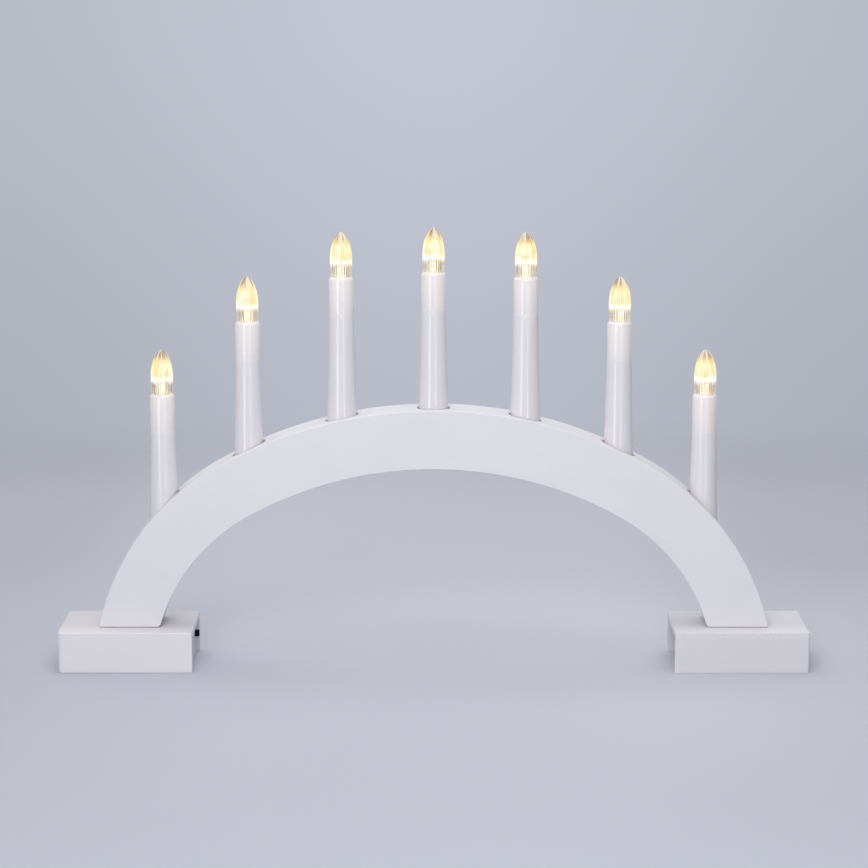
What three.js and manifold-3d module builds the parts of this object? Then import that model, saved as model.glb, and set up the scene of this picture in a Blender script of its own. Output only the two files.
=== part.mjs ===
// Electric advent candlestick: a white wooden arch on two hollow feet, with seven
// candle lights on the arch and a battery unit in the left foot.
// Millimetres, +Z up. X runs along the arch and Y from its front to its back.
// The origin is on the table, under the middle of the arch.

import * as THREE from 'three';
import { mergeVertices } from 'three/addons/utils/BufferGeometryUtils.js';
import Module from 'manifold-3d';

const wasm = await Module();
wasm.setup();

// Arch: three tangent arcs, cut off by the foot tops above their springing line
const archHalfWidth = 187;
const archRise = 149.7;
const crownHalfAngle = THREE.MathUtils.degToRad(29.3);
const springDepth = 29;
const archThickness = 32.5;
const archDepth = 25;
const legGlueGap = 0.15;
const legChamfer = 1.7;

// Wire groove under the arch, and the strip that closes it
const grooveWidth = 7;
const grooveDepth = 8;
const stripThickness = 2;
const stripClearance = 0.15;

// Candles: distances of their axes from the middle, and how deep each tube is let in
const innerCandleX = 50;
const haunchCandleX = 101;
const outerCandleX = 148;
const crownSeatDepth = 7.9;
const innerSeatDepth = 5.2;
const haunchSeatDepth = 12.4;
const outerSeatDepth = 20.4;
const seatClearance = 0.7;
const restGap = 0.15;
const wireBoreRadius = 3;

// Candle tube: a plastic tube with a straight neck, which flares below it towards its foot
const tubeLength = 82;
const tubeNeckLength = 21;
const tubeNeckRadius = 6.7;
const tubeNeckStep = 0.15;
const tubeFootRadius = 8.3;
const flarePower = 1.8;
const tubeWall = 1.3;
const rimChamferWidth = 1;
const rimChamferHeight = 1.4;

// Flame bulb: a clear hollow cap with a spigot that plugs into the tube
const bulbBaseRadius = 5.7;
const bulbBellyRadius = 6.15;
const bulbBellyHeight = 9.5;
const bulbHeight = 24;
const bulbWall = 1.2;
const bulbTipSolid = 5;
const tipPower = 2.1;
const tipFullness = 0.6;
const spigotLength = 3;
const spigotWall = 0.9;
const fitClearance = 0.25;

// LED with two leads, and the plug that holds it in the tube
const ledRadius = 2.5;
const ledHeight = 7.5;
const ledRecess = 1.6;
const ledFlangeRadius = 2.9;
const ledFlangeHeight = 1;
const ledSink = 0.5;
const leadSpacing = 2.54;
const leadWidth = 0.5;
const leadLength = 10;
const holderLength = 21;
const holderBoreRadius = 2.3;

// Wires
const wireRadius = 0.5;
const wirePlay = 0.15;
const wireSides = 6;
const solderGap = 0.3;
const wireBend = 4;

// Feet: boxes of thin board, open below and towards the middle
const boardThickness = 3;
const footOverhang = 21.1;
const footSpare = 8.25;
const leftCornerShare = 0.8;
const rightCornerShare = 0.3;
const wireHoleRadius = 3.5;

// Battery case in the left foot
const floorGap = 0.6;
const caseRecess = 1.8;
const caseClearance = 0.3;
const caseWall = 1.2;
const switchBayWidth = 9.9;
const leadNotchLength = 3;
const leadNotchDepth = 6;
const bossRadius = 3;

// Battery lid, which slides in grooves of the case
const lidThickness = 1.5;
const lidTongue = 0.45;
const lidTongueHeight = 0.8;
const slideClearance = 0.15;
const gripWidth = 14;
const gripLength = 1.2;
const gripDepth = 0.4;
const gripPitch = 2.6;
const gripCount = 4;
const gripInset = 5;

// AA cells and their contacts
const cellRadius = 7.25;
const cellLength = 50.5;
const cellNubRadius = 2.75;
const cellNubHeight = 1.2;
const cellEdge = 0.6;
const cellPlay = 0.2;
const cellSpacing = 0.5;
const plateThickness = 0.4;
const plateHalfWidth = 5.5;
const plateHalfHeight = 4.6;
const contactGap = 0.15;
const springLength = 6;
const springTurns = 4;
const springFootRadius = 4.2;
const springTipRadius = 2.4;
const springWireRadius = 0.4;
const springWireSides = 5;
const springStepsPerTurn = 9;

// Slide switch on its board
const switchHeight = 11.8;
const sliderTravel = 3;
const sliderWidth = 3;
const sliderHeight = 3.4;
const sliderReach = 0.4;
const sliderBaseWidth = 4.2;
const sliderBaseHeight = 4.8;
const sliderBaseDepth = 2;
const sliderClearance = 0.3;
const switchBodyHeight = 6.6;
const switchBodyDepth = 4.4;
const switchWall = 0.6;
const circuitLength = 24;
const circuitThickness = 1.2;
const circuitClearance = 0.3;
const circuitLedge = 2;
const wirePadInset = 3.5;
const resistorRadius = 1.1;
const resistorLength = 6;
const resistorLift = 0.8;
const resistorLegRadius = 0.3;
const resistorInset = 9;

// Screws
const archScrewSpacing = 12.5;
const archScrewRadius = 1.6;
const archScrewHeadRadius = 3.2;
const archScrewHeadHeight = 1.7;
const archScrewLength = 17;
const caseScrewSpacing = 28;
const caseScrewRadius = 1.1;
const caseScrewHeadRadius = 2.1;
const caseScrewHeadHeight = 1.3;
const caseScrewBite = 2.2;
const pilotClearance = 0.15;
const slotWidth = 0.7;
const slotDepth = 0.6;

// Fineness of the facets
const roundSides = 16;
const seatSides = 20;
const smallSides = 10;
const haunchSteps = 11;
const crownSteps = 14;
const cornerSteps = 4;
const tubeRings = 4;
const bellyRings = 2;
const tipRings = 5;
const cavityRings = 3;
const grooveRunSteps = 44;
const footRunSteps = 20;
const riserSteps = 6;
const leadSteps = 16;
const cutMargin = 1;

// The left foot is as large inside as its battery case needs, and the right one matches it
const lidTop = floorGap + lidThickness;
const cellZ = lidTop + cellPlay + cellRadius;
const bayCeiling = cellZ + cellRadius + cellPlay;
const caseTop = bayCeiling + caseWall;
const wireGap = 2 * (wireRadius + wirePlay);
const footUnder = caseTop + wireGap;
const footHeight = footUnder + boardThickness;

const cellPitch = 2 * cellRadius + cellSpacing;
const bayWidth = cellPitch + 2 * cellRadius + 2 * cellPlay;
const caseWidth = bayWidth + switchBayWidth + 3 * caseWall;
const footDepth = caseWidth + 2 * caseClearance + 2 * boardThickness;

const springRoom = springLength + 2 * contactGap;
const bayLength = 2 * plateThickness + contactGap + cellLength + springRoom;
const caseLength = bayLength + 2 * caseWall;
const footLength = boardThickness + footSpare + caseLength + caseRecess;

// Arcs of the arch's outer face
const radiusStep = (archHalfWidth - archRise) / (Math.cos(crownHalfAngle) + Math.sin(crownHalfAngle) - 1);
const haunchRadius = archHalfWidth - radiusStep * Math.sin(crownHalfAngle);
const crownRadius = haunchRadius + radiusStep;
const haunchX = archHalfWidth - haunchRadius;
const springZ = footHeight - springDepth;
const crownZ = springZ + archRise - crownRadius;
const legOuterX = haunchX + Math.sqrt(haunchRadius ** 2 - springDepth ** 2);
const legInnerX = haunchX + Math.sqrt((haunchRadius - archThickness) ** 2 - springDepth ** 2);
const legX = (legOuterX + legInnerX) / 2;
const footOuterX = legOuterX + footOverhang;
const footInnerX = footOuterX - footLength;
const legFootZ = footHeight + legGlueGap;
const wireInset = archThickness - (grooveDepth + stripThickness) / 2;
const wireLegX = haunchX + Math.sqrt((haunchRadius - wireInset) ** 2 - springDepth ** 2);

// Places in the battery case, which lies at negative X
const caseInnerX = -footInnerX - caseRecess;
const caseOuterX = caseInnerX - caseLength;
const bayInnerX = caseInnerX - caseWall;
const bayOuterX = caseOuterX + caseWall;
const caseFrontY = -caseWidth / 2;
const caseBackY = caseWidth / 2;
const bayFrontY = caseFrontY + caseWall;
const bayBackY = bayFrontY + bayWidth;
const switchFrontY = bayBackY + caseWall;
const switchBackY = switchFrontY + switchBayWidth;
const frontCellY = bayFrontY + cellPlay + cellRadius;
const backCellY = frontCellY + cellPitch;
const betweenCellsY = (frontCellY + backCellY) / 2;
const caseMiddleX = (caseInnerX + caseOuterX) / 2;
const caseScrewXs = [-1, 1].map((side) => caseMiddleX + side * caseScrewSpacing / 2);
const switchMiddleY = (switchFrontY + switchBackY) / 2;
const sliderY = switchMiddleY + sliderTravel / 2;
const circuitInnerX = bayInnerX - circuitClearance;
const circuitOuterX = circuitInnerX - circuitLength;
const circuitTop = switchHeight - switchBodyHeight / 2 - restGap;
const circuitBottom = circuitTop - circuitThickness;
const lidGroove = lidTongue + slideClearance;
const wireGapZ = caseTop + wireGap / 2;
const padLift = wireRadius + solderGap;

// Materials
function paint(color, roughness, metalness) {
  return new THREE.MeshStandardMaterial({ color, roughness, metalness });
}
const whiteWood = paint(0xdcdce2, 0.55, 0);
const whiteStrip = paint(0xe2e2e6, 0.5, 0);
const whitePlastic = paint(0xe8e6e2, 0.25, 0);
const clearPlastic = paint(0xf6e6b4, 0.1, 0);
const ledPlastic = paint(0xfff4d0, 0.2, 0);
const casePlastic = paint(0xc9c9d4, 0.5, 0);
const blackPlastic = paint(0x0a0a0b, 0.45, 0);
const redSleeve = paint(0xa01c18, 0.5, 0);
const blackSleeve = paint(0x161616, 0.5, 0);
const circuitGreen = paint(0x2f6a3c, 0.5, 0);
const steel = paint(0xb4b6b8, 0.35, 1);
const cellSleeve = paint(0x3a5f7a, 0.35, 0);

// A closed geometry as a solid that can be joined and cut
function solid(geometry) {
  const bare = new THREE.BufferGeometry();
  bare.setAttribute('position', geometry.getAttribute('position'));
  bare.setIndex(geometry.getIndex());
  const merged = mergeVertices(bare);
  const corners = merged.getIndex().array;
  const triangles = [];
  for (let i = 0; i < corners.length; i += 3) {
    const [a, b, c] = corners.slice(i, i + 3);
    if (a !== b && b !== c && c !== a) triangles.push(a, b, c);
  }
  return new wasm.Manifold(new wasm.Mesh({
    numProp: 3,
    vertProperties: new Float32Array(merged.getAttribute('position').array),
    triVerts: new Uint32Array(triangles),
  }));
}

function joined(first, ...others) {
  return others.reduce((sum, other) => sum.add(other), first);
}

function without(base, ...tools) {
  return tools.reduce((rest, tool) => rest.subtract(tool), base);
}

const candlestick = new THREE.Group();

function piece(name, body, material, parent = candlestick) {
  const { vertProperties, triVerts } = body.getMesh();
  const geometry = new THREE.BufferGeometry();
  geometry.setAttribute('position', new THREE.BufferAttribute(new Float32Array(vertProperties), 3));
  geometry.setIndex(new THREE.BufferAttribute(new Uint32Array(triVerts), 1));
  geometry.computeVertexNormals();
  const mesh = new THREE.Mesh(geometry, material);
  mesh.name = name;
  parent.add(mesh);
}

function block(x0, x1, y0, y1, z0, z1) {
  const box = new THREE.BoxGeometry(Math.abs(x1 - x0), Math.abs(y1 - y0), Math.abs(z1 - z0));
  return solid(box.translate((x0 + x1) / 2, (y0 + y1) / 2, (z0 + z1) / 2));
}

// A shape turned about Z, from a closed profile of [radius, height] that runs anticlockwise
function turnedShape(profile, sides) {
  const points = profile.map(([radius, height]) => new THREE.Vector2(radius, height));
  points.push(points[0].clone());
  return new THREE.LatheGeometry(points, sides).rotateX(Math.PI / 2);
}

function turned(profile, sides) {
  return solid(turnedShape(profile, sides));
}

function rod(from, to, radius, sides, endRadius = radius) {
  const along = to.clone().sub(from);
  const cylinder = new THREE.CylinderGeometry(endRadius, radius, along.length(), sides);
  const turn = new THREE.Quaternion().setFromUnitVectors(new THREE.Vector3(0, 1, 0), along.normalize());
  const middle = from.clone().add(to).multiplyScalar(0.5);
  return solid(cylinder.applyQuaternion(turn).translate(middle.x, middle.y, middle.z));
}

function upright(x, y, z0, z1, radius, sides, topRadius = radius) {
  return rod(new THREE.Vector3(x, y, z0), new THREE.Vector3(x, y, z1), radius, sides, topRadius);
}

// An outline in the XZ plane, made as thick as the given depth about the middle of the arch
function slab(outline, depth) {
  const flat = new THREE.ExtrudeGeometry(new THREE.Shape(outline), { depth, bevelEnabled: false });
  return solid(flat.rotateX(Math.PI / 2).translate(0, depth / 2, 0));
}

// An outline in the XY plane, made into a board between two heights
function board(outline, z0, z1) {
  const flat = new THREE.ExtrudeGeometry(new THREE.Shape(outline), { depth: z1 - z0, bevelEnabled: false });
  return solid(flat.translate(0, 0, z0));
}

function tubeAlong(path, radius, sides, steps) {
  const ring = Array.from({ length: sides }, (_, i) => {
    const angle = 2 * Math.PI * i / sides;
    return new THREE.Vector2(radius * Math.cos(angle), radius * Math.sin(angle));
  });
  const options = { extrudePath: path, steps, bevelEnabled: false };
  return solid(new THREE.ExtrudeGeometry(new THREE.Shape(ring), options));
}

// A path of straight runs with rounded corners
function bentPath(points, bend) {
  const path = new THREE.CurvePath();
  let start = points[0];
  for (let i = 1; i < points.length - 1; i += 1) {
    const corner = points[i];
    const before = corner.clone().sub(start);
    const after = points[i + 1].clone().sub(corner);
    const trim = Math.min(bend, before.length() / 2, after.length() / 2);
    const enter = corner.clone().sub(before.setLength(trim));
    const leave = corner.clone().add(after.setLength(trim));
    path.add(new THREE.LineCurve3(start, enter));
    path.add(new THREE.QuadraticBezierCurve3(enter, corner, leave));
    start = leave;
  }
  path.add(new THREE.LineCurve3(start, points[points.length - 1]));
  return path;
}

function arcPoints(x, z, radius, from, to, steps) {
  return Array.from({ length: steps + 1 }, (_, i) => {
    const angle = from + (to - from) * i / steps;
    return new THREE.Vector2(x + radius * Math.cos(angle), z + radius * Math.sin(angle));
  });
}

// The arch's outer face moved inwards, from the left leg over the crown to the right leg
function archEdge(inset, baseZ) {
  const legAngle = Math.PI - Math.asin((baseZ - springZ) / (haunchRadius - inset));
  const joinAngle = Math.PI / 2 + crownHalfAngle;
  const left = arcPoints(-haunchX, springZ, haunchRadius - inset, legAngle, joinAngle, haunchSteps);
  const crown = arcPoints(0, crownZ, crownRadius - inset, joinAngle, Math.PI - joinAngle, crownSteps);
  const right = left.map((point) => new THREE.Vector2(-point.x, point.y)).reverse();
  return [...left, ...crown.slice(1, -1), ...right];
}

function archSlab(outerInset, innerInset, baseZ, depth) {
  return slab([...archEdge(outerInset, baseZ), ...archEdge(innerInset, baseZ).reverse()], depth);
}

// The whole arch, with the inner lower corner of each leg taken off
function archBlank() {
  const outer = archEdge(0, legFootZ);
  const inner = archEdge(archThickness, legFootZ + legChamfer).reverse();
  const corners = [1, -1].map((side) => new THREE.Vector2(side * (legInnerX + legChamfer), legFootZ));
  return slab([...outer, corners[0], ...inner, corners[1]], archDepth);
}

function archTopAt(x) {
  const onCrown = Math.abs(x) <= crownRadius * Math.sin(crownHalfAngle);
  if (onCrown) return crownZ + Math.sqrt(crownRadius ** 2 - x ** 2);
  return springZ + Math.sqrt(haunchRadius ** 2 - (Math.abs(x) - haunchX) ** 2);
}

// The point square below the given one, at the given distance inside the outer face
function belowInArch(point, inset) {
  const onCrown = Math.atan2(Math.abs(point.x), point.z - crownZ) <= crownHalfAngle;
  const centreX = onCrown ? 0 : Math.sign(point.x) * haunchX;
  const centre = new THREE.Vector3(centreX, point.y, onCrown ? crownZ : springZ);
  const radius = (onCrown ? crownRadius : haunchRadius) - inset;
  return point.clone().sub(centre).setLength(radius).add(centre);
}

function seat(x, depth) {
  return { x, seatZ: archTopAt(x) - depth };
}
const candlePairs = [
  [innerCandleX, innerSeatDepth],
  [haunchCandleX, haunchSeatDepth],
  [outerCandleX, outerSeatDepth],
];
const candles = [
  ...candlePairs.map(([x, depth]) => seat(-x, depth)).reverse(),
  seat(0, crownSeatDepth),
  ...candlePairs.map(([x, depth]) => seat(x, depth)),
];

// Feet
const legScrewYs = [-archScrewSpacing / 2, archScrewSpacing / 2];

function archScrew(x, y, clearance) {
  const shank = upright(x, y, footUnder, footUnder + archScrewLength + clearance,
    archScrewRadius + clearance, smallSides);
  const head = upright(x, y, footUnder, footUnder + archScrewHeadHeight,
    archScrewHeadRadius + clearance, smallSides, archScrewRadius + clearance);
  return joined(shank, head);
}

// A board of a foot seen from above, with the corners at the outer end rounded where it says so
function footPlan(y0, y1, frontRadius, backRadius) {
  const corner = (y, inward, radius) => Array.from({ length: cornerSteps + 1 }, (_, i) => {
    const angle = Math.PI / 2 * i / cornerSteps;
    const x = -footOuterX + radius * (1 - Math.sin(angle));
    return new THREE.Vector2(x, y + inward * radius * (1 - Math.cos(angle)));
  });
  const front = frontRadius > 0 ? corner(y0, 1, frontRadius) : [new THREE.Vector2(-footOuterX, y0)];
  const back = backRadius > 0 ? corner(y1, -1, backRadius) : [new THREE.Vector2(-footOuterX, y1)];
  const innerEnd = [new THREE.Vector2(-footInnerX, y1), new THREE.Vector2(-footInnerX, y0)];
  return [...innerEnd, ...front, ...back.reverse()].reverse();
}

// Both feet are made as the left one, with a tall front board, and the right one is turned round
function foot(name, turn, cornerRadius, holes) {
  const frontY = -footDepth / 2;
  const backY = footDepth / 2;
  const screwHoles = legScrewYs.map((y) => archScrew(-legX, y, pilotClearance));
  const group = new THREE.Group();
  group.rotation.z = turn;
  candlestick.add(group);
  const tall = footPlan(frontY, frontY + boardThickness, cornerRadius, 0);
  const low = footPlan(backY - boardThickness, backY, 0, cornerRadius);
  const top = board(footPlan(frontY + boardThickness, backY, 0, cornerRadius), footUnder, footHeight);
  const end = block(-footOuterX, boardThickness - footOuterX,
    frontY + boardThickness, backY - boardThickness, 0, footUnder);
  const [front, back] = turn === 0 ? ['front', 'back'] : ['back', 'front'];
  piece(`${name}_foot_top`, without(top, ...screwHoles, ...holes), whiteWood, group);
  piece(`${name}_foot_${front}`, board(tall, 0, footHeight), whiteWood, group);
  piece(`${name}_foot_${back}`, board(low, 0, footUnder), whiteWood, group);
  piece(`${name}_foot_end`, end, whiteWood, group);
}

function caseScrewHole(x, top) {
  return upright(x, betweenCellsY, bayCeiling - cutMargin, top, caseScrewRadius + pilotClearance, smallSides);
}
const caseScrewTop = footUnder + caseScrewBite;
const wireHole = upright(-wireLegX, 0, footUnder - cutMargin, footHeight + cutMargin,
  wireHoleRadius, roundSides);
const caseScrewPilots = caseScrewXs.map((x) => caseScrewHole(x, caseScrewTop + pilotClearance));
foot('left', 0, leftCornerShare * boardThickness, [wireHole, ...caseScrewPilots]);
foot('right', Math.PI, rightCornerShare * boardThickness, []);

// Arch with its candle seats, wire bores, wire groove and pilot holes
const seatRadius = tubeFootRadius + seatClearance;
const archTop = archTopAt(0) + cutMargin;
const archCuts = candles.flatMap(({ x, seatZ }) => {
  const seatFloor = new THREE.Vector3(x, 0, seatZ);
  const intoGroove = belowInArch(seatFloor, wireInset);
  return [
    upright(x, 0, seatZ, archTop, seatRadius, seatSides),
    rod(intoGroove, seatFloor.clone().setZ(seatZ + cutMargin), wireBoreRadius, smallSides),
  ];
});
archCuts.push(archSlab(archThickness - grooveDepth, archThickness + cutMargin, footHeight, grooveWidth));
for (const side of [-1, 1]) {
  for (const y of legScrewYs) archCuts.push(archScrew(side * legX, y, pilotClearance));
}
piece('arch_body', without(archBlank(), ...archCuts), whiteWood);
const stripWidth = grooveWidth - 2 * stripClearance;
const strip = archSlab(archThickness - stripThickness, archThickness, legFootZ + legChamfer, stripWidth);
piece('groove_strip', strip, whiteStrip);

[['left', -1], ['right', 1]].forEach(([name, side]) => {
  legScrewYs.forEach((y, i) => {
    const x = side * legX;
    const slot = block(x - archScrewHeadRadius, x + archScrewHeadRadius,
      y - slotWidth / 2, y + slotWidth / 2, footUnder - cutMargin, footUnder + slotDepth);
    piece(`${name}_arch_screw_${i + 1}`, without(archScrew(x, y, 0), slot), steel);
  });
});

// Candles, each built about its own axis from the floor of its seat
const boreRadius = tubeNeckRadius - tubeWall;
const flareLength = tubeLength - tubeNeckLength;

function candleTube() {
  const shoulderRadius = tubeNeckRadius + tubeNeckStep;
  const flare = Array.from({ length: tubeRings + 1 }, (_, i) => {
    const spread = (1 - i / tubeRings) ** flarePower;
    return [shoulderRadius + (tubeFootRadius - shoulderRadius) * spread, flareLength * i / tubeRings];
  });
  const neck = [
    [tubeNeckRadius, flareLength],
    [tubeNeckRadius, tubeLength - rimChamferHeight],
    [tubeNeckRadius - rimChamferWidth, tubeLength],
    [boreRadius, tubeLength],
    [boreRadius, flareLength],
  ];
  return turned([...flare, ...neck, [tubeFootRadius - tubeWall, 0]], roundSides);
}

function bulbRadiusAt(height) {
  if (height <= bulbBellyHeight) {
    const swell = Math.sin(Math.PI / 2 * height / bulbBellyHeight);
    return bulbBaseRadius + (bulbBellyRadius - bulbBaseRadius) * swell;
  }
  const rise = (height - bulbBellyHeight) / (bulbHeight - bulbBellyHeight);
  return bulbBellyRadius * Math.max(1 - rise ** tipPower, 0) ** tipFullness;
}

const spigotRadius = boreRadius - fitClearance;
const spigotBore = spigotRadius - spigotWall;
const neckRadius = spigotBore - fitClearance;
const holderRadius = boreRadius - fitClearance;
const bulbFoot = tubeLength + restGap;
const ledFoot = tubeLength - ledSink;

function flameBulb() {
  const belly = Array.from({ length: bellyRings + 1 }, (_, i) => bulbBellyHeight * i / bellyRings);
  const tip = Array.from({ length: tipRings }, (_, i) => {
    const quarter = Math.PI / 2 * (i + 1) / tipRings;
    return bulbBellyHeight + (bulbHeight - bulbBellyHeight) * Math.sin(quarter);
  });
  const outside = [...belly, ...tip].map((height) => [bulbRadiusAt(height), height]);
  const cavityTop = bulbHeight - bulbTipSolid;
  const inside = Array.from({ length: cavityRings + 1 }, (_, i) => {
    const height = (cavityTop - bulbWall) * i / cavityRings;
    return [bulbRadiusAt(height) - bulbWall, height];
  });
  const profile = [
    [spigotBore, restGap - spigotLength],
    [spigotRadius, restGap - spigotLength],
    [spigotRadius, 0],
    ...outside,
    [0, cavityTop],
    ...inside.reverse(),
    [spigotBore, 0],
  ];
  return turned(profile.map(([radius, height]) => [radius, bulbFoot + height]), roundSides);
}

function ledLamp() {
  const body = turned([
    [0, ledFoot],
    [ledFlangeRadius, ledFoot],
    [ledFlangeRadius, ledFoot + ledFlangeHeight],
    [ledRadius, ledFoot + ledFlangeHeight],
    [ledRadius, ledFoot + ledHeight],
    [0, ledFoot + ledHeight - ledRecess],
  ], smallSides);
  const leads = [-1, 1].map((side) => {
    const y = side * leadSpacing / 2;
    return block(-leadWidth / 2, leadWidth / 2, y - leadWidth / 2, y + leadWidth / 2,
      ledFoot - leadLength, ledFoot + ledFlangeHeight / 2);
  });
  return joined(body, ...leads);
}

function ledHolder() {
  const top = ledFoot - restGap;
  const shoulder = bulbFoot - spigotLength - fitClearance;
  const foot = tubeLength - holderLength;
  return turned([
    [holderBoreRadius, foot],
    [holderRadius, foot],
    [holderRadius, shoulder],
    [neckRadius, shoulder],
    [neckRadius, top],
    [holderBoreRadius, top],
  ], smallSides);
}

const candlePieces = [
  ['tube', candleTube(), whitePlastic],
  ['bulb', flameBulb(), clearPlastic],
  ['led', ledLamp(), ledPlastic],
  ['holder', ledHolder(), whitePlastic],
];
candles.forEach(({ x, seatZ }, i) => {
  const candle = new THREE.Group();
  candle.position.set(x, 0, seatZ + restGap);
  candlestick.add(candle);
  for (const [kind, body, material] of candlePieces) {
    piece(`candle_${i + 1}_${kind}`, body, material, candle);
  }
});

// Wires from the switch board through the foot top and along the groove, with a riser to each LED
const padY = switchMiddleY;
const leadEnd = restGap + ledFoot - leadLength - solderGap;

function harness(side) {
  const y = side * leadSpacing / 2;
  const padX = circuitOuterX + wirePadInset + y;
  const last = candles[candles.length - 1];
  const lastTurn = belowInArch(new THREE.Vector3(last.x, y, last.seatZ), wireInset);
  const grooveLine = archEdge(wireInset, footHeight).filter((point) => point.x < lastTurn.x - wireBend);
  const groovePoints = grooveLine.map((point) => new THREE.Vector3(point.x, y, point.y));
  const grooveRun = new THREE.CatmullRomCurve3([...groovePoints, lastTurn]);
  const footRun = bentPath([
    new THREE.Vector3(padX, padY, circuitTop + padLift),
    new THREE.Vector3(padX, padY, wireGapZ),
    new THREE.Vector3(padX, y, wireGapZ),
    new THREE.Vector3(-wireLegX, y, wireGapZ),
    new THREE.Vector3(-wireLegX, y, footHeight),
    new THREE.Vector3(-wireLegX, y, footHeight + 2 * wireRadius),
  ], wireBend);
  const risers = candles.map(({ x, seatZ }) => {
    const seatFloor = new THREE.Vector3(x, y, seatZ);
    const path = bentPath([
      belowInArch(seatFloor, wireInset),
      seatFloor,
      new THREE.Vector3(x, y, seatZ + leadEnd),
    ], wireBend);
    return tubeAlong(path, wireRadius, wireSides, riserSteps);
  });
  return joined(
    tubeAlong(grooveRun, wireRadius, wireSides, grooveRunSteps),
    tubeAlong(footRun, wireRadius, wireSides, footRunSteps),
    ...risers,
  );
}
piece('supply_wire_red', harness(1), redSleeve);
piece('return_wire_black', harness(-1), blackSleeve);

// Battery case: a bay for two cells, open below, and a switch bay behind it, open above
function batteryCase() {
  const shell = block(caseOuterX, caseInnerX, caseFrontY, caseBackY, floorGap, caseTop);
  const bosses = caseScrewXs.map((x) => upright(x, betweenCellsY, caseTop - caseWall / 2, footUnder,
    bossRadius, roundSides));
  const cellBay = block(bayOuterX, bayInnerX, bayFrontY, bayBackY, floorGap - cutMargin, bayCeiling);
  const switchBay = block(bayOuterX, bayInnerX, switchFrontY, switchBackY,
    floorGap + caseWall, caseTop + cutMargin);
  const ledges = [circuitOuterX, circuitInnerX - circuitLedge].map((x) => block(x, x + circuitLedge,
    switchFrontY - caseWall / 2, switchBackY + caseWall / 2,
    floorGap + caseWall / 2, circuitBottom - restGap));
  const lidGrooves = block(bayOuterX, caseInnerX + cutMargin, bayFrontY - lidGroove, bayBackY + lidGroove,
    lidTop - lidTongueHeight - slideClearance, lidTop + slideClearance);
  const lidWay = block(bayOuterX, caseInnerX + cutMargin, bayFrontY, bayBackY,
    floorGap - cutMargin, lidTop + slideClearance);
  const window = block(bayInnerX - cutMargin, caseInnerX + cutMargin,
    sliderY - sliderTravel - sliderWidth / 2 - sliderClearance, sliderY + sliderWidth / 2 + sliderClearance,
    switchHeight - sliderHeight / 2 - sliderClearance, switchHeight + sliderHeight / 2 + sliderClearance);
  const leadNotch = block(bayOuterX, bayOuterX + leadNotchLength,
    bayBackY - cutMargin, switchFrontY + cutMargin, bayCeiling - leadNotchDepth, bayCeiling);
  const screwHoles = caseScrewXs.map((x) => caseScrewHole(x, footUnder + cutMargin));
  const hollow = without(joined(shell, ...bosses), cellBay, switchBay);
  return without(joined(hollow, ...ledges), lidGrooves, lidWay, window, leadNotch, ...screwHoles);
}
piece('battery_case', batteryCase(), casePlastic);

function batteryLid() {
  const outerX = bayOuterX + slideClearance;
  const frontY = bayFrontY + slideClearance;
  const backY = bayBackY - slideClearance;
  const panel = block(outerX, caseInnerX, frontY, backY, floorGap, lidTop);
  const tongues = block(outerX, caseInnerX, frontY - lidTongue, backY + lidTongue,
    lidTop - lidTongueHeight, lidTop);
  const grips = Array.from({ length: gripCount }, (_, i) => {
    const x = caseInnerX - gripInset - i * gripPitch;
    return block(x - gripLength, x, betweenCellsY - gripWidth / 2, betweenCellsY + gripWidth / 2,
      floorGap - cutMargin, floorGap + gripDepth);
  });
  return without(joined(panel, tongues), ...grips);
}
piece('battery_lid', batteryLid(), casePlastic);

caseScrewXs.forEach((x, i) => {
  const head = upright(x, betweenCellsY, bayCeiling - caseScrewHeadHeight, bayCeiling,
    caseScrewHeadRadius, smallSides);
  const shank = upright(x, betweenCellsY, bayCeiling - caseScrewHeadHeight / 2, caseScrewTop,
    caseScrewRadius, smallSides);
  const headFoot = bayCeiling - caseScrewHeadHeight;
  const slot = block(x - caseScrewHeadRadius, x + caseScrewHeadRadius, betweenCellsY - slotWidth / 2,
    betweenCellsY + slotWidth / 2, headFoot - cutMargin, headFoot + slotDepth);
  piece(`case_screw_${i + 1}`, without(joined(head, shank), slot), steel);
});

// The front cell points to the middle of the arch and the back cell to its outer end
function cell(y, facing) {
  const nubX = facing > 0 ? bayInnerX - plateThickness - contactGap : bayOuterX + plateThickness + contactGap;
  const body = cellLength - cellNubHeight;
  const shape = turnedShape([
    [0, 0],
    [cellRadius - cellEdge, 0],
    [cellRadius, cellEdge],
    [cellRadius, body - cellEdge],
    [cellRadius - cellEdge, body],
    [cellNubRadius, body],
    [cellNubRadius, cellLength],
    [0, cellLength],
  ], roundSides);
  return solid(shape.rotateY(facing * Math.PI / 2).translate(nubX - facing * cellLength, y, cellZ));
}
piece('cell_front', cell(frontCellY, 1), cellSleeve);
piece('cell_back', cell(backCellY, -1), cellSleeve);

function contactPlate(x, frontY, backY) {
  return block(x, x + plateThickness, frontY, backY, cellZ - plateHalfHeight, cellZ + plateHalfHeight);
}
const innerPlateX = bayInnerX - plateThickness;
const linkPlate = contactPlate(innerPlateX, frontCellY - plateHalfWidth, backCellY + plateHalfWidth);
piece('link_plate', linkPlate, steel);
const positivePlate = contactPlate(bayOuterX, backCellY - plateHalfWidth, backCellY + plateHalfWidth);
piece('positive_plate', positivePlate, steel);
const negativePlate = contactPlate(bayOuterX, frontCellY - plateHalfWidth, frontCellY + plateHalfWidth);
piece('negative_plate', negativePlate, steel);

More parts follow.
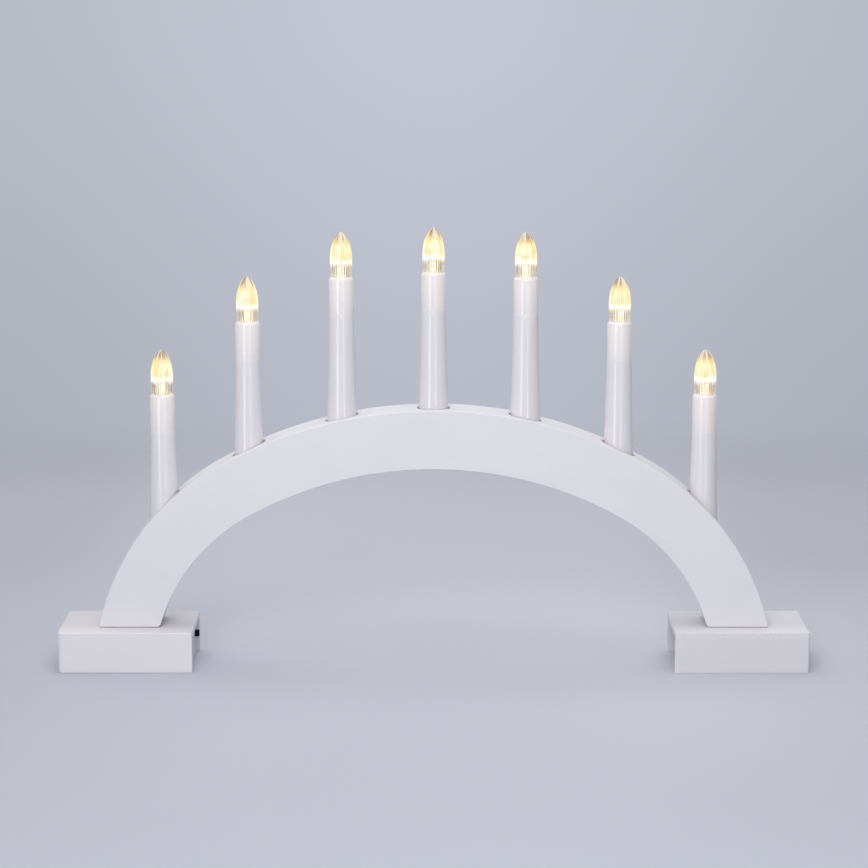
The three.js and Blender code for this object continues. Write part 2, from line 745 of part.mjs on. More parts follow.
// A conical spring that stands on a plate and presses on the flat end of a cell
class SpringLine extends THREE.Curve {
  constructor(plateX, facing, y) {
    super();
    this.footX = plateX + facing * (contactGap + springWireRadius);
    this.reach = facing * (springLength - 2 * springWireRadius);
    this.y = y;
  }

  getPoint(t) {
    const radius = springFootRadius + (springTipRadius - springFootRadius) * t;
    const angle = 2 * Math.PI * springTurns * t;
    return new THREE.Vector3(this.footX + this.reach * t,
      this.y + radius * Math.cos(angle), cellZ + radius * Math.sin(angle));
  }
}

function spring(plateX, facing, y) {
  const line = new SpringLine(plateX, facing, y);
  return tubeAlong(line, springWireRadius, springWireSides, springTurns * springStepsPerTurn);
}
piece('front_spring', spring(bayOuterX + plateThickness, 1, frontCellY), steel);
piece('back_spring', spring(innerPlateX, -1, backCellY), steel);

// Leads from the outer plates over the partition to the switch board
const leadX = bayOuterX + plateThickness + padLift;
const leadPadX = circuitOuterX + circuitLedge;

function batteryLead(plateY, z, boardY) {
  return tubeAlong(bentPath([
    new THREE.Vector3(leadX, plateY, z),
    new THREE.Vector3(leadX, boardY, z),
    new THREE.Vector3(leadPadX, boardY, z),
    new THREE.Vector3(leadPadX, boardY, circuitTop + padLift),
  ], wireBend), wireRadius, wireSides, leadSteps);
}
const leadRise = 2 * (wireRadius + wirePlay);
const upperLeadZ = bayCeiling - wireRadius - wirePlay;
const redLead = batteryLead(backCellY + plateHalfWidth, upperLeadZ - 2 * leadRise, switchMiddleY - leadRise);
piece('battery_lead_red', redLead, redSleeve);
const blackLead = batteryLead(frontCellY + plateHalfWidth, upperLeadZ, switchMiddleY + leadRise);
piece('battery_lead_black', blackLead, blackSleeve);

// Switch board with its resistor
function switchBoard() {
  const plate = block(circuitOuterX, circuitInnerX, switchFrontY + circuitClearance,
    switchBackY - circuitClearance, circuitBottom, circuitTop);
  const x = circuitInnerX - resistorInset;
  const ends = [switchMiddleY - resistorLength / 2, switchMiddleY + resistorLength / 2];
  const z = circuitTop + resistorLift + resistorRadius;
  const body = rod(new THREE.Vector3(x, ends[0], z), new THREE.Vector3(x, ends[1], z),
    resistorRadius, smallSides);
  const legs = ends.map((y) => {
    const inward = Math.sign(switchMiddleY - y) * 2 * resistorLegRadius;
    return upright(x, y + inward, circuitTop - circuitThickness / 2, z, resistorLegRadius, wireSides);
  });
  return joined(plate, body, ...legs);
}
piece('switch_board', switchBoard(), circuitGreen);

const switchFrontX = bayInnerX - sliderClearance;
const switchBottom = switchHeight - switchBodyHeight / 2;
const switchTop = switchHeight + switchBodyHeight / 2;
const slideRoom = sliderBaseWidth / 2 + sliderClearance;

function switchBody() {
  const halfWidth = sliderTravel / 2 + slideRoom + switchWall;
  const housing = block(switchFrontX - switchBodyDepth, switchFrontX,
    switchMiddleY - halfWidth, switchMiddleY + halfWidth, switchBottom, switchTop);
  const cavity = block(switchFrontX - sliderBaseDepth - sliderClearance, switchFrontX + cutMargin,
    sliderY - sliderTravel - slideRoom, sliderY + slideRoom,
    switchHeight - sliderBaseHeight / 2 - sliderClearance,
    switchHeight + sliderBaseHeight / 2 + sliderClearance);
  return without(housing, cavity);
}
piece('switch_body', switchBody(), steel);

function switchSlider() {
  const base = block(switchFrontX - sliderBaseDepth, switchFrontX,
    sliderY - sliderBaseWidth / 2, sliderY + sliderBaseWidth / 2,
    switchHeight - sliderBaseHeight / 2, switchHeight + sliderBaseHeight / 2);
  const knob = block(switchFrontX - sliderBaseDepth / 2, -footInnerX + sliderReach,
    sliderY - sliderWidth / 2, sliderY + sliderWidth / 2,
    switchHeight - sliderHeight / 2, switchHeight + sliderHeight / 2);
  return joined(base, knob);
}
piece('switch_slider', switchSlider(), blackPlastic);

export default candlestick;
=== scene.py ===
# Electric advent candlestick: its fine surfaces and finishes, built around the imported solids.
# Metres, in the frame of the solids: X along the arch, Y to the back, Z up from the table.
import math

import bmesh
import bpy
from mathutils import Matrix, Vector
from mathutils.geometry import delaunay_2d_cdt


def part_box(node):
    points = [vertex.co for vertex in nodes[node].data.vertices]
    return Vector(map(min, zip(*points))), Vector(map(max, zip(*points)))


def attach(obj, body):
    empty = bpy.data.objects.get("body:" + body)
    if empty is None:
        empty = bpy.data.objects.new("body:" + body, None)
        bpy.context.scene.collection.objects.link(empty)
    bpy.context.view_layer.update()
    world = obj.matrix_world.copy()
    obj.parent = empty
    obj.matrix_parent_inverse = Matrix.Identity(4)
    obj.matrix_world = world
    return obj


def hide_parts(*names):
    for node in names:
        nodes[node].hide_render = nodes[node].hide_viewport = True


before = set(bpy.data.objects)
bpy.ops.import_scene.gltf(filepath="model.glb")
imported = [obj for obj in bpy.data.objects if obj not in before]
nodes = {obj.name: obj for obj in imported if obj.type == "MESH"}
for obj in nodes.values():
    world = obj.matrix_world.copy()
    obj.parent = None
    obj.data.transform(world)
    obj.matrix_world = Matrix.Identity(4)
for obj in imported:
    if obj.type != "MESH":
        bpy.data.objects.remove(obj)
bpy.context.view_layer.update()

MM = 0.001
WELD = 0.002 * MM
SAME_LEVEL = 0.01 * MM
SQUARE_ON = 0.99
FACING_UP = 0.5

# Arch: three tangent arcs, as in the solids
ARCH_HALF_WIDTH = 187 * MM
ARCH_RISE = 149.7 * MM
CROWN_HALF_ANGLE = math.radians(29.3)
SPRING_DEPTH = 29 * MM
ARCH_THICKNESS = 32.5 * MM
ARCH_EDGE = 0.6 * MM
LEG_CORNER = 1.7 * MM
LEG_SEAM = 0.2 * MM
GROOVE_HALF_WIDTH = 3.5 * MM
GROOVE_DEPTH = 8 * MM
COVER_THICKNESS = 2 * MM
COVER_CLEARANCE = 0.15 * MM
COVER_EDGE = 0.3 * MM

# Glue under the legs
GLUE_INSET = 0.35 * MM
GLUE_LIFT = 0.02 * MM
GLUE_WAVE = 0.15 * MM
GLUE_WAVE_RATES = (7.3, 2.1)
GLUE_STEPS = 24

# Feet: how far their edges are eased, and between which depths the paint of their tops turns darker
# towards the back, which is painted shade
LEFT_EASING = {"edge": 0.5 * MM, "open_end": 0.25 * MM, "joint": 0}
RIGHT_EASING = {"edge": 0.25 * MM, "open_end": 0.2 * MM, "joint": 0.1 * MM}
PAINTED_SHADE_FROM_TO = (-25 * MM, -2 * MM)

# Candles and their seats in the arch
CANDLES = 7
CANDLE_TURN = 0.61
SEAT_RADIUS = 9 * MM
SEAT_LIP = 0.45 * MM
SEAT_FLOOR_GAP = 0.15 * MM
# A dark ring in the gap round each candle's foot, which is painted shade
SEAT_SHADOW_TUCK = 0.15 * MM
SEAT_SHADOW_GAP = 0.05 * MM
SEAT_SHADOW_THICKNESS = 1.5 * MM
SEAT_SHADOW_DROP = 0.5 * MM
SEAT_SHADOW_RISE = 0.1 * MM

# Candle tube
NECK_LENGTH = 21 * MM
NECK_RADIUS = 6.7 * MM
NECK_STEP = 0.1 * MM
NECK_MARGIN = 1 * MM
SEAM_HEIGHT = 0.4 * MM
FLARE_POWER = 1.1
TUBE_WALL = 1.3 * MM
TUBE_FOOT_EDGE = 0.4 * MM
RIM_WIDTH = 1 * MM
RIM_HEIGHT = 1.4 * MM
RIM_FOOT_EDGE = 0.35 * MM
RIM_TOP_EDGE = 0.2 * MM
GLOW_FOOT_BLUR = (-0.3 * MM, 0.5 * MM)
GLOW_RISE_START = -8 * MM

# Flame bulb
BULB_BASE_RADIUS = 5.7 * MM
BULB_BELLY_RADIUS = 6.03 * MM
BULB_BELLY_HEIGHT = 9.5 * MM
BULB_HEIGHT = 24 * MM
BULB_WALL = 1.2 * MM
BULB_TIP_SOLID = 5 * MM
TIP_POWER = 1.8
TIP_FULLNESS = 0.55
SPIGOT_LENGTH = 2.85 * MM
SPIGOT_RADIUS = 5.15 * MM
SPIGOT_BORE = 4.25 * MM
FLUTES = 28
FLUTE_DEPTH = 0.2 * MM
STREAK_UNEVENNESS = 2.4 * MM
BULB_PATTERN_SHIFT = 5.3
PLASTIC_IOR = 1.45

# LED and its plug
AXIS_GAP = 0.02 * MM
LED_RADIUS = 2.5 * MM
LED_HEIGHT = 7.5 * MM
LED_RECESS = 1.6 * MM
LED_FLANGE_RADIUS = 2.9 * MM
LED_FLANGE_HEIGHT = 1 * MM
LED_SINK = 0.5 * MM
LED_FLANGE_EDGE = 0.15 * MM
LED_FOOT_EDGE = 0.2 * MM
LED_RIM_EDGE = 0.35 * MM
LED_GLOW_START = 2 * MM
LEAD_HALF_SPACING = 1.27 * MM
LEAD_HALF_WIDTH = 0.25 * MM
LEAD_LENGTH = 10 * MM
PLUG_CLEARANCE = 0.25 * MM
PLUG_BORE = 2.3 * MM
PLUG_SHOULDER_RISE = 0.4 * MM
PLUG_FOOT_EDGE = 0.4 * MM
PLUG_EDGE = 0.3 * MM
PLUG_NECK_EDGE = 0.2 * MM

# Battery unit
CASE_EDGE = 0.1 * MM
KNOB_EDGE = 0.3 * MM
CELL_SILVER_LENGTH = 14 * MM
CELL_SILVER_BLUR = 0.2 * MM
HALF_TRACK_SPACING = 1.2 * MM
TRACK_EDGE = (0.25 * MM, 0.4 * MM)

# Fineness of the surfaces
HAUNCH_STEPS = 60
CROWN_STEPS = 84
FACE_STEPS = 4
LOW_FACE_STEPS = 3
EDGE_STEPS = 5
CORNER_STEPS = 3
BOARD_EDGE_STEPS = 4
SEAT_STEPS = 64
TUBE_STEPS = 72
FLARE_STEPS = 24
NECK_WALL_STEPS = 4
FLUTE_STEPS = 6
BELLY_STEPS = 10
TIP_STEPS = 22
CAVITY_STEPS = 16
CAVITY_TOP_STEPS = 5
SMALL_STEPS = 40
TOP_GRID = 2.6 * MM
TOP_WELD = 1e-7
SHARP_EDGE = math.radians(35)
BULB_SHARP_EDGE = math.radians(50)
BOARD_SHARP_EDGE = math.radians(30)
FLAT_JOIN = math.radians(0.5)

# Floor, backdrop and light: metres on the floor, parts of the direction in the backdrop
LIGHT_TARGET = Vector((0, 0, 0.1))
FLOOR_SIZE = 2.4
FLOOR_FADE = (0.5, 0.85)
FLOOR_NEAR_TO_FAR = (-0.4, 0.25)
FLOOR_FAR_TO_BACK = (0.2, 0.5)
FLOOR_MIDDLE_TO_SIDES = (0.1, 0.27)
# Painted light: the floor is paler on the right, level with the feet, where they would shade it
LIFT_RIGHTWARD = (0, 0.16)
LIFT_STARTS = (-0.25, -0.06)
LIFT_ENDS = (0.05, 0.3)
LIFT = 0.055
BACKDROP_LOW_TO_HIGH = (-0.2, 0)
BACKDROP_MIDDLE_TO_SIDES = (0, 0.2)
BACKDROP_SIDE = 0.86
TENT_BACK = 1
TENT_LEFT = 0.46
TENT_RIGHT = 0.2

# Camera at the photograph's view
SENSOR = 36
PHOTO_SIZE = 868
FOCAL_PIXELS = 2570
CAMERA_PLACE = (0.26 * MM, -1383.6 * MM, 374.7 * MM)
CAMERA_PITCH = 0.1763


def srgb(red, green, blue):
    """A colour as it shows on a screen, 0 to 255, as linear light."""
    def linear(level):
        share = level / 255
        return share / 12.92 if share <= 0.04045 else ((share + 0.055) / 1.055) ** 2.4
    return (linear(red), linear(green), linear(blue), 1)


def scaled(tone, factor):
    return (*(part * factor for part in tone[:3]), 1)


# Shared tones
BACKDROP_LOW = srgb(183, 187, 199)
BACKDROP_HIGH = srgb(196, 200, 212)
WHITE = (1, 1, 1, 1)
UNLIT = (0, 0, 0, 1)


# Node trees
class Tone:
    """A socket of a finish. Arithmetic on it adds Math nodes."""

    def __init__(self, finish, socket):
        self.finish = finish
        self.socket = socket

    def math(self, operation, *values):
        return self.finish.node("ShaderNodeMath", {"operation": operation}, dict(enumerate(values)))

    def __add__(self, other):
        return self.math("ADD", self, other)

    def __radd__(self, other):
        return self.math("ADD", other, self)

    def __sub__(self, other):
        return self.math("SUBTRACT", self, other)

    def __rsub__(self, other):
        return self.math("SUBTRACT", other, self)

    def __mul__(self, other):
        return self.math("MULTIPLY", self, other)

    def __rmul__(self, other):
        return self.math("MULTIPLY", other, self)

    def __truediv__(self, other):
        return self.math("DIVIDE", self, other)


class Finish:
    """A node tree under construction, with one method for every kind of node."""

    def __init__(self, owner):
        owner.use_nodes = True
        self.owner = owner
        self.tree = owner.node_tree
        self.tree.nodes.clear()

    def node(self, kind, settings=None, sockets=None, output=0):
        made = self.tree.nodes.new(kind)
        for name, value in (settings or {}).items():
            if name == "stops":
                self.set_stops(made.color_ramp, value)
            else:
                setattr(made, name, value)
        for key, value in (sockets or {}).items():
            if isinstance(value, Tone):
                self.tree.links.new(value.socket, made.inputs[key])
            else:
                made.inputs[key].default_value = value
        return Tone(self, made.outputs[output]) if made.outputs else None

    def set_stops(self, ramp, stops):
        while len(ramp.elements) < len(stops):
            ramp.elements.new(1)
        for element, (position, tone) in zip(ramp.elements, stops):
            element.position = position
            element.color = tone

    def place(self):
        """The point of the surface, in the piece's own coordinates."""
        return self.node("ShaderNodeTexCoord", output=3)

    def axes(self, vector):
        parts = self.node("ShaderNodeSeparateXYZ", None, {0: vector})
        return [Tone(self, socket) for socket in parts.socket.node.outputs]

    def noise(self, vector, scale=1, detail=2):
        sockets = {"Vector": vector, "Scale": scale, "Detail": detail}
        return self.node("ShaderNodeTexNoise", None, sockets)

    def stretched(self, vector, along, across, up):
        settings = {"operation": "MULTIPLY"}
        return self.node("ShaderNodeVectorMath", settings, {0: vector, 1: (along, across, up)})

    def mix(self, factor, first, second):
        settings = {"data_type": "RGBA"}
        return self.node("ShaderNodeMix", settings, {0: factor, 6: first, 7: second}, output=2)

    def varied(self, mask, tone, least, most):
        """One tone, from its least to its most share as the mask rises."""
        return self.mix(mask, scaled(tone, least), scaled(tone, most))

    def ramp(self, share, stops):
        return self.node("ShaderNodeValToRGB", {"stops": stops}, {0: share})

    def ease(self, value, start, end):
        settings = {"interpolation_type": "SMOOTHSTEP"}
        sockets = {"Value": value, "From Min": start, "From Max": end}
        return self.node("ShaderNodeMapRange", settings, sockets)

    def bump(self, height, distance):
        return self.node("ShaderNodeBump", None, {"Height": height, "Distance": distance})

    def principled(self, sockets):
        return self.node("ShaderNodeBsdfPrincipled", None, sockets)

    def blend(self, factor, first, second):
        return self.node("ShaderNodeMixShader", None, {0: factor, 1: first, 2: second})

    def show(self, shader, output="ShaderNodeOutputMaterial"):
        self.node(output, None, {"Surface": shader})
        return self.owner


def new_finish(name):
    return Finish(bpy.data.materials.new(name))


# Finishes
def white_paint(name, tone, shaded_tone=None):
    """Sprayed satin paint with clouding, orange peel and fibres, and, if a shaded tone is given, painted
    shade that darkens it towards the back.
    """
    finish = new_finish(name)
    place = finish.place()
    clouds = finish.noise(place, scale=22, detail=3)
    fibres = finish.noise(finish.stretched(place, along=90, across=520, up=520))
    peel = finish.noise(place, scale=1500, detail=1)
    grain = 0.75 * clouds + 0.25 * fibres
    colour = finish.varied(grain, tone, 0.95, 1.05)
    # Painted shade: with a shaded tone, the paint turns darker towards the back, between the given
    # depths
    if shaded_tone:
        behind = finish.ease(finish.axes(place)[1], *PAINTED_SHADE_FROM_TO)
        colour = finish.mix(behind, colour, finish.varied(grain, shaded_tone, 0.95, 1.05))
    return finish.show(finish.principled({
        "Base Color": colour,
        "Roughness": 0.5 + 0.16 * clouds,
        "Specular IOR Level": 0.3,
        "Normal": finish.bump(0.6 * peel + 0.4 * fibres, 0.03 * MM),
    }))


def rough_board_edge(name, tone):
    """The sawn edge of a board, where the paint sinks into the fibres."""
    finish = new_finish(name)
    place = finish.place()
    fibres = finish.noise(finish.stretched(place, along=700, across=1600, up=1600))
    pits = finish.noise(place, scale=1900)
    worn = 0.4 * fibres + 0.6 * pits
    return finish.show(finish.principled({
        "Base Color": finish.varied(finish.ease(worn, 0.3, 0.6), tone, 0.9, 1.03),
        "Roughness": 0.6 + 0.2 * pits,
        "Specular IOR Level": 0.25,
        "Normal": finish.bump(worn, 0.08 * MM),
    }))


def glue_and_shade(name, hollow, crest):
    """A bead of wood glue, also used for the rings of painted shade round the candles' feet, and darker
    in the hollows of its bump, which is painted shade.
    """
    finish = new_finish(name)
    # Painted shade: the colour darkens where the bump is low, in its hollows
    blots = finish.noise(finish.place(), scale=420, detail=3)
    return finish.show(finish.principled({
        "Base Color": finish.mix(blots, hollow, crest),
        "Roughness": 0.45 + 0.3 * blots,
        "Normal": finish.bump(blots, 0.05 * MM),
    }))


def candle_plastic(neck_foot, rim):
    """Glossy white plastic that glows warm round its neck, where the lamp sits."""
    finish = new_finish("candle_plastic")
    place = finish.place()
    height = finish.axes(place)[2]
    clouds = finish.noise(place, scale=60)
    flow = finish.noise(finish.stretched(place, along=700, across=700, up=40))
    in_neck = finish.ease(height, *(neck_foot + shift for shift in GLOW_FOOT_BLUR))
    near_rim = finish.ease(height, neck_foot + GLOW_RISE_START, rim)
    glow = finish.mix(near_rim, (0.02, 0.017, 0.011, 1), (0.135, 0.108, 0.062, 1))
    return finish.show(finish.principled({
        "Base Color": finish.varied(0.7 * clouds + 0.3 * flow, srgb(220, 217, 222), 0.975, 1.025),
        "Roughness": 0.1 + 0.06 * clouds,
        "Specular IOR Level": 0.5,
        "Emission Color": finish.mix(in_neck, UNLIT, glow),
        "Emission Strength": 1,
        "Normal": finish.bump(flow, 0.003 * MM),
    }))


def bulb_streaks(finish, foot, candle):
    """A bulb's share of height, the streaks of its ribs, 0 dark and 1 pale, which paint in what the
    flutes refract and shade, and its broad golden streaks.
    """
    place = finish.place()
    along, across, height = finish.axes(place)
    level = finish.stretched(place, along=1, across=1, up=0)
    outward = finish.node("ShaderNodeVectorMath", {"operation": "NORMALIZE"}, {0: level})

    def streaks(round_it, up_it, detail=2):
        """Noise that runs up the bulb, finer round it or up it as the two numbers grow."""
        settings = {"operation": "MULTIPLY_ADD"}
        shift = (0, 0, BULB_PATTERN_SHIFT * candle)
        sockets = {0: outward, 1: (round_it, round_it, 0), 2: shift}
        around = finish.node("ShaderNodeVectorMath", settings, sockets)
        sockets = {0: place, 1: (0, 0, up_it), 2: around}
        return finish.noise(finish.node("ShaderNodeVectorMath", settings, sockets), detail=detail)

    turn = finish.node("ShaderNodeMath", {"operation": "ARCTAN2"}, {0: across, 1: along})
    flute = turn * (FLUTES / (2 * math.pi))
    ridge = 2 * finish.node("ShaderNodeMath", {"operation": "PINGPONG"}, {0: flute, 1: 0.5})
    uneven = streaks(round_it=9, up_it=60)
    patches = finish.noise(place, scale=260, detail=1)
    share = (height - foot + (uneven - 0.5) * STREAK_UNEVENNESS) / BULB_HEIGHT
    near_tip = finish.ease(share, 0.66, 0.86)
    # Painted refraction and shade: the dark and pale streaks that follow the flutes
    fine = finish.ease(0.25 * ridge + 0.5 * uneven + 0.25 * patches, 0.38, 0.6)
    coarse = finish.ease(streaks(round_it=2.6, up_it=50), 0.45, 0.6)
    rib = fine + (coarse - fine) * near_tip
    broad = finish.ease(streaks(round_it=1.6, up_it=40, detail=1), 0.44, 0.62)
    golden = broad * finish.ease(share, 0.32, 0.44) * (1 - near_tip)
    return share, rib, golden


def bulb_glow(finish, share, rib, golden):
    """Painted light in a bulb's plastic: at the base, dark and pale streaks for what the clear ribs
    refract and shade, then white hot, golden, brown at the tip.
    """
    pale = finish.ramp(share, [
        (0, srgb(242, 232, 212)),
        (0.2, srgb(248, 240, 222)),
        (0.27, (1, 0.985, 0.95, 1)),
        (0.36, (1, 0.985, 0.92, 1)),
        (0.5, srgb(253, 252, 228)),
        (0.67, srgb(253, 250, 214)),
        (0.77, srgb(248, 238, 194)),
        (0.86, srgb(246, 232, 212)),
        (1, srgb(234, 228, 232)),
    ])
    # The darkest tones at the base are painted shade from the socket round the LED
    dark = finish.ramp(share, [
        (0, srgb(120, 96, 76)),
        (0.2, srgb(140, 112, 82)),
        (0.26, srgb(214, 178, 120)),
        (0.3, (1, 0.97, 0.86, 1)),
        (0.37, srgb(252, 246, 214)),
        (0.45, srgb(238, 218, 158)),
        (0.55, srgb(248, 239, 188)),
        (0.67, srgb(245, 234, 172)),
        (0.77, srgb(228, 202, 138)),
        (0.86, srgb(166, 128, 90)),
        (1, srgb(118, 92, 86)),
    ])
    gold = finish.mix(rib, srgb(230, 200, 120), srgb(252, 244, 174))
    return finish.mix(0.7 * golden, finish.mix(rib, dark, pale), gold)


def lit_plastic(finish, streaks, tint, clear_roughness, lit_roughness, lit_share):
    """Clear plastic that shows the lamp's light by the given share."""
    clear = finish.principled({
        "Base Color": tint,
        "Roughness": clear_roughness,
        "Transmission Weight": 1,
        "IOR": PLASTIC_IOR,
    })
    glow = finish.principled({
        "Base Color": (0.03, 0.03, 0.03, 1),
        "Roughness": lit_roughness,
        "Emission Color": bulb_glow(finish, *streaks),
        "Emission Strength": 1,
    })
    return finish.show(finish.blend(lit_share, clear, glow))


def clear_shell(foot, candle):
    """The fluted outside of a bulb, lit in its middle and clearer at its base and tip."""
    finish = new_finish(f"clear_shell_{candle}")
    streaks = bulb_streaks(finish, foot, candle)
    share, rib, _ = streaks
    tint = finish.mix(rib, (0.96, 0.9, 0.82, 1), (1, 0.98, 0.95, 1))
    full = finish.ease(share, 0.2, 0.28) * (1 - 0.6 * finish.ease(share, 0.6, 0.95))
    return lit_plastic(finish, streaks, tint, 0.04 + 0.04 * rib, 0.1, 0.48 + 0.47 * full)


def glowing_wall(foot, candle):
    """The inside of a bulb, clear beside the LED and bright above it."""
    finish = new_finish(f"glowing_wall_{candle}")
    streaks = bulb_streaks(finish, foot, candle)
    share, rib, _ = streaks
    above_led = finish.ease(share, 0.22, 0.3)
    return lit_plastic(finish, streaks, (1, 0.97, 0.92, 1), 0.04 + 0.06 * rib, 0.3, above_led)


def lit_lens(foot):
    """The moulded lens of the LED, bright at its dished top."""
    finish = new_finish("lit_lens")
    place = finish.place()
    height = finish.axes(place)[2]
    streak = finish.noise(finish.stretched(place, along=1500, across=1500, up=80))
    heat = finish.ease(height, foot + LED_GLOW_START, foot + LED_HEIGHT)
    return finish.show(finish.principled({
        "Base Color": finish.mix(streak, srgb(238, 226, 198), srgb(250, 244, 226)),
        "Roughness": 0.2 + 0.1 * streak,
        "Emission Color": finish.mix(heat, (0.86, 0.8, 0.66, 1), (1, 0.96, 0.86, 1)),
        "Emission Strength": 1,
    }))


def moulded_plastic(name, tone, roughness, grain, gloss=0.5):
    """Injection-moulded plastic with a fine spark-eroded grain."""
    finish = new_finish(name)
    place = finish.place()
    clouds = finish.noise(place, scale=70)
    sparks = finish.noise(place, scale=2600)
    return finish.show(finish.principled({
        "Base Color": finish.varied(clouds, tone, 0.94, 1.06),
        "Roughness": roughness - 0.06 + 0.12 * sparks,
        "Specular IOR Level": gloss,
        "Normal": finish.bump(sparks, grain),
    }))


def plated_metal(name, tone):
    """Plated steel with faint drawing lines."""
    finish = new_finish(name)
    place = finish.place()
    lines = finish.noise(finish.stretched(place, along=300, across=300, up=3000))
    stains = finish.noise(place, scale=160, detail=3)
    return finish.show(finish.principled({
        "Base Color": finish.varied(stains, tone, 0.85, 1),
        "Metallic": 1,
        "Roughness": 0.26 + 0.2 * lines,
        "Normal": finish.bump(lines, 0.01 * MM),
    }))


def cell_sleeve(silver_x):
    """The sleeve of a dry cell: plain blue, with a silver zone at one end."""
    finish = new_finish("cell_sleeve")
    place = finish.place()
    along = finish.axes(place)[0]
    scuffs = finish.noise(place, scale=240, detail=3)
    silver_end = finish.ease(along, silver_x - CELL_SILVER_BLUR, silver_x + CELL_SILVER_BLUR)
    blue = finish.mix(scuffs, srgb(50, 84, 112), srgb(64, 102, 132))
    silver = finish.mix(scuffs, srgb(168, 172, 176), srgb(190, 194, 198))
    return finish.show(finish.principled({
        "Base Color": finish.mix(silver_end, blue, silver),
        "Metallic": 0.7 * silver_end,
        "Roughness": 0.26 + 0.14 * scuffs,
        "Normal": finish.bump(scuffs, 0.01 * MM),
    }))


def wire_sleeve(name, tone):
    """The scuffed plastic sleeve of a wire."""
    finish = new_finish(name)
    scuffs = finish.noise(finish.place(), scale=500)
    return finish.show(finish.principled({
        "Base Color": finish.varied(scuffs, tone, 0.8, 1.15),
        "Roughness": 0.38 + 0.2 * scuffs,
        "Normal": finish.bump(scuffs, 0.02 * MM),
    }))


def circuit_lacquer():
    """Green lacquer with the tracks showing through as paler lines."""
    finish = new_finish("circuit_lacquer")
    place = finish.place()
    across = finish.axes(place)[1]
    row = finish.node("ShaderNodeMath", {"operation": "PINGPONG"}, {0: across, 1: HALF_TRACK_SPACING})
    track = 1 - finish.ease(row, *TRACK_EDGE)
    grain = finish.noise(place, scale=900)
    board = finish.mix(grain, srgb(34, 92, 48), srgb(44, 110, 60))
    return finish.show(finish.principled({
        "Base Color": finish.mix(track, board, srgb(76, 150, 86)),
        "Roughness": 0.3 + 0.2 * grain,
        "Normal": finish.bump(track + 0.2 * grain, 0.03 * MM),
    }))


# Meshes
def spread(start, end, steps):
    return [start + (end - start) * i / steps for i in range(steps + 1)]


def circle(steps):
    """Points (x, y) of a circle of radius 1."""
    turns = [2 * math.pi * i / steps for i in range(steps)]
    return [(math.cos(turn), math.sin(turn)) for turn in turns]


def band(low, high, steps):
    """Faces between two rings of points, each given by the number of its first point."""
    following = [(i, (i + 1) % steps) for i in range(steps)]
    return [[low + i, low + j, high + j, high + i] for i, j in following]


def fan(ring, tip, steps):
    """Faces between a ring of points and one point."""
    return [[ring + i, ring + (i + 1) % steps, tip] for i in range(steps)]


def new_piece(name, mesh, body, stands_for, materials, place=(0, 0, 0), turn=0):
    piece = bpy.data.objects.new(name, mesh)
    piece.location = place
    piece.rotation_euler.z = turn
    bpy.context.scene.collection.objects.link(piece)
    if not mesh.materials:
        for material in materials:
            mesh.materials.append(material)
    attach(piece, body)
    if stands_for:
        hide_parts(*stands_for)
    return piece


def keep_flats(piece):
    """Shade the flat faces flat, next to their rounded edges."""
    weighted = piece.modifiers.new("flat_faces", "WEIGHTED_NORMAL")
    weighted.keep_sharp = True


def mesh_from(name, points, faces, sharp=SHARP_EDGE):
    """A closed mesh with its faces turned outwards, smooth but for its sharp edges."""
    mesh = bpy.data.meshes.new(name)
    mesh.from_pydata(points, [], faces)
    shape = bmesh.new()
    shape.from_mesh(mesh)
    bmesh.ops.remove_doubles(shape, verts=shape.verts, dist=WELD)
    bmesh.ops.recalc_face_normals(shape, faces=shape.faces)
    for face in shape.faces:
        face.smooth = True
    shape.to_mesh(mesh)
    shape.free()
    mesh.set_sharp_from_angle(angle=sharp)
    return mesh


def wooden_piece(name, points, faces, stands_for, material):
    """A piece of the arch, of the glue on it or of the painted shade round the candles' feet, from its
    points and faces.
    """
    mesh = mesh_from(name, points, faces)
    keep_flats(new_piece(name, mesh, "stand", stands_for, [material]))


def lathe_points(profile, steps):
    """Points and faces of a closed profile of (radius, height) turned about Z."""
    points = []
    faces = []
    rings = len(profile)
    for ring, (radius, height) in enumerate(profile):
        points += [(radius * x, radius * y, height) for x, y in circle(steps)]
        faces += band(ring * steps, (ring + 1) % rings * steps, steps)
    return points, faces


def rounded(corner, before, after, radius):
    """An outline's corner as a short curve that starts and ends the given distance from it."""
    corner = Vector(corner)
    start = corner + (Vector(before) - corner).normalized() * radius
    end = corner + (Vector(after) - corner).normalized() * radius
    curve = []
    for share in spread(0, 1, CORNER_STEPS):
        point = start * (1 - share) ** 2 + corner * (2 * share * (1 - share)) + end * share ** 2
        curve.append(tuple(point))
    return curve


def softened_profile(profile, radii):
    """A closed profile with each corner eased by its own radius."""
    result = []
    count = len(profile)
    for i, (corner, radius) in enumerate(zip(profile, radii)):
        if radius == 0:
            result.append(corner)
        else:
            result += rounded(corner, profile[i - 1], profile[(i + 1) % count], radius)
    return result


# Arch
arch_low, arch_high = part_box("arch_body")
foot_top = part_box("left_foot_top")[1].z
leg_foot = arch_low.z + LEG_SEAM
half_depth = (arch_high.y - arch_low.y) / 2
top_half = half_depth - ARCH_EDGE
spring_z = foot_top - SPRING_DEPTH
turn_share = math.cos(CROWN_HALF_ANGLE) + math.sin(CROWN_HALF_ANGLE) - 1
radius_step = (ARCH_HALF_WIDTH - ARCH_RISE) / turn_share
haunch_radius = ARCH_HALF_WIDTH - radius_step * math.sin(CROWN_HALF_ANGLE)
crown_radius = haunch_radius + radius_step
haunch_x = ARCH_HALF_WIDTH - haunch_radius
crown_z = spring_z + ARCH_RISE - crown_radius

seats = []
for i in range(CANDLES):
    tube_low, tube_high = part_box(f"candle_{i + 1}_tube")
    seats.append(Vector(((tube_low.x + tube_high.x) / 2, 0, tube_low.z)))


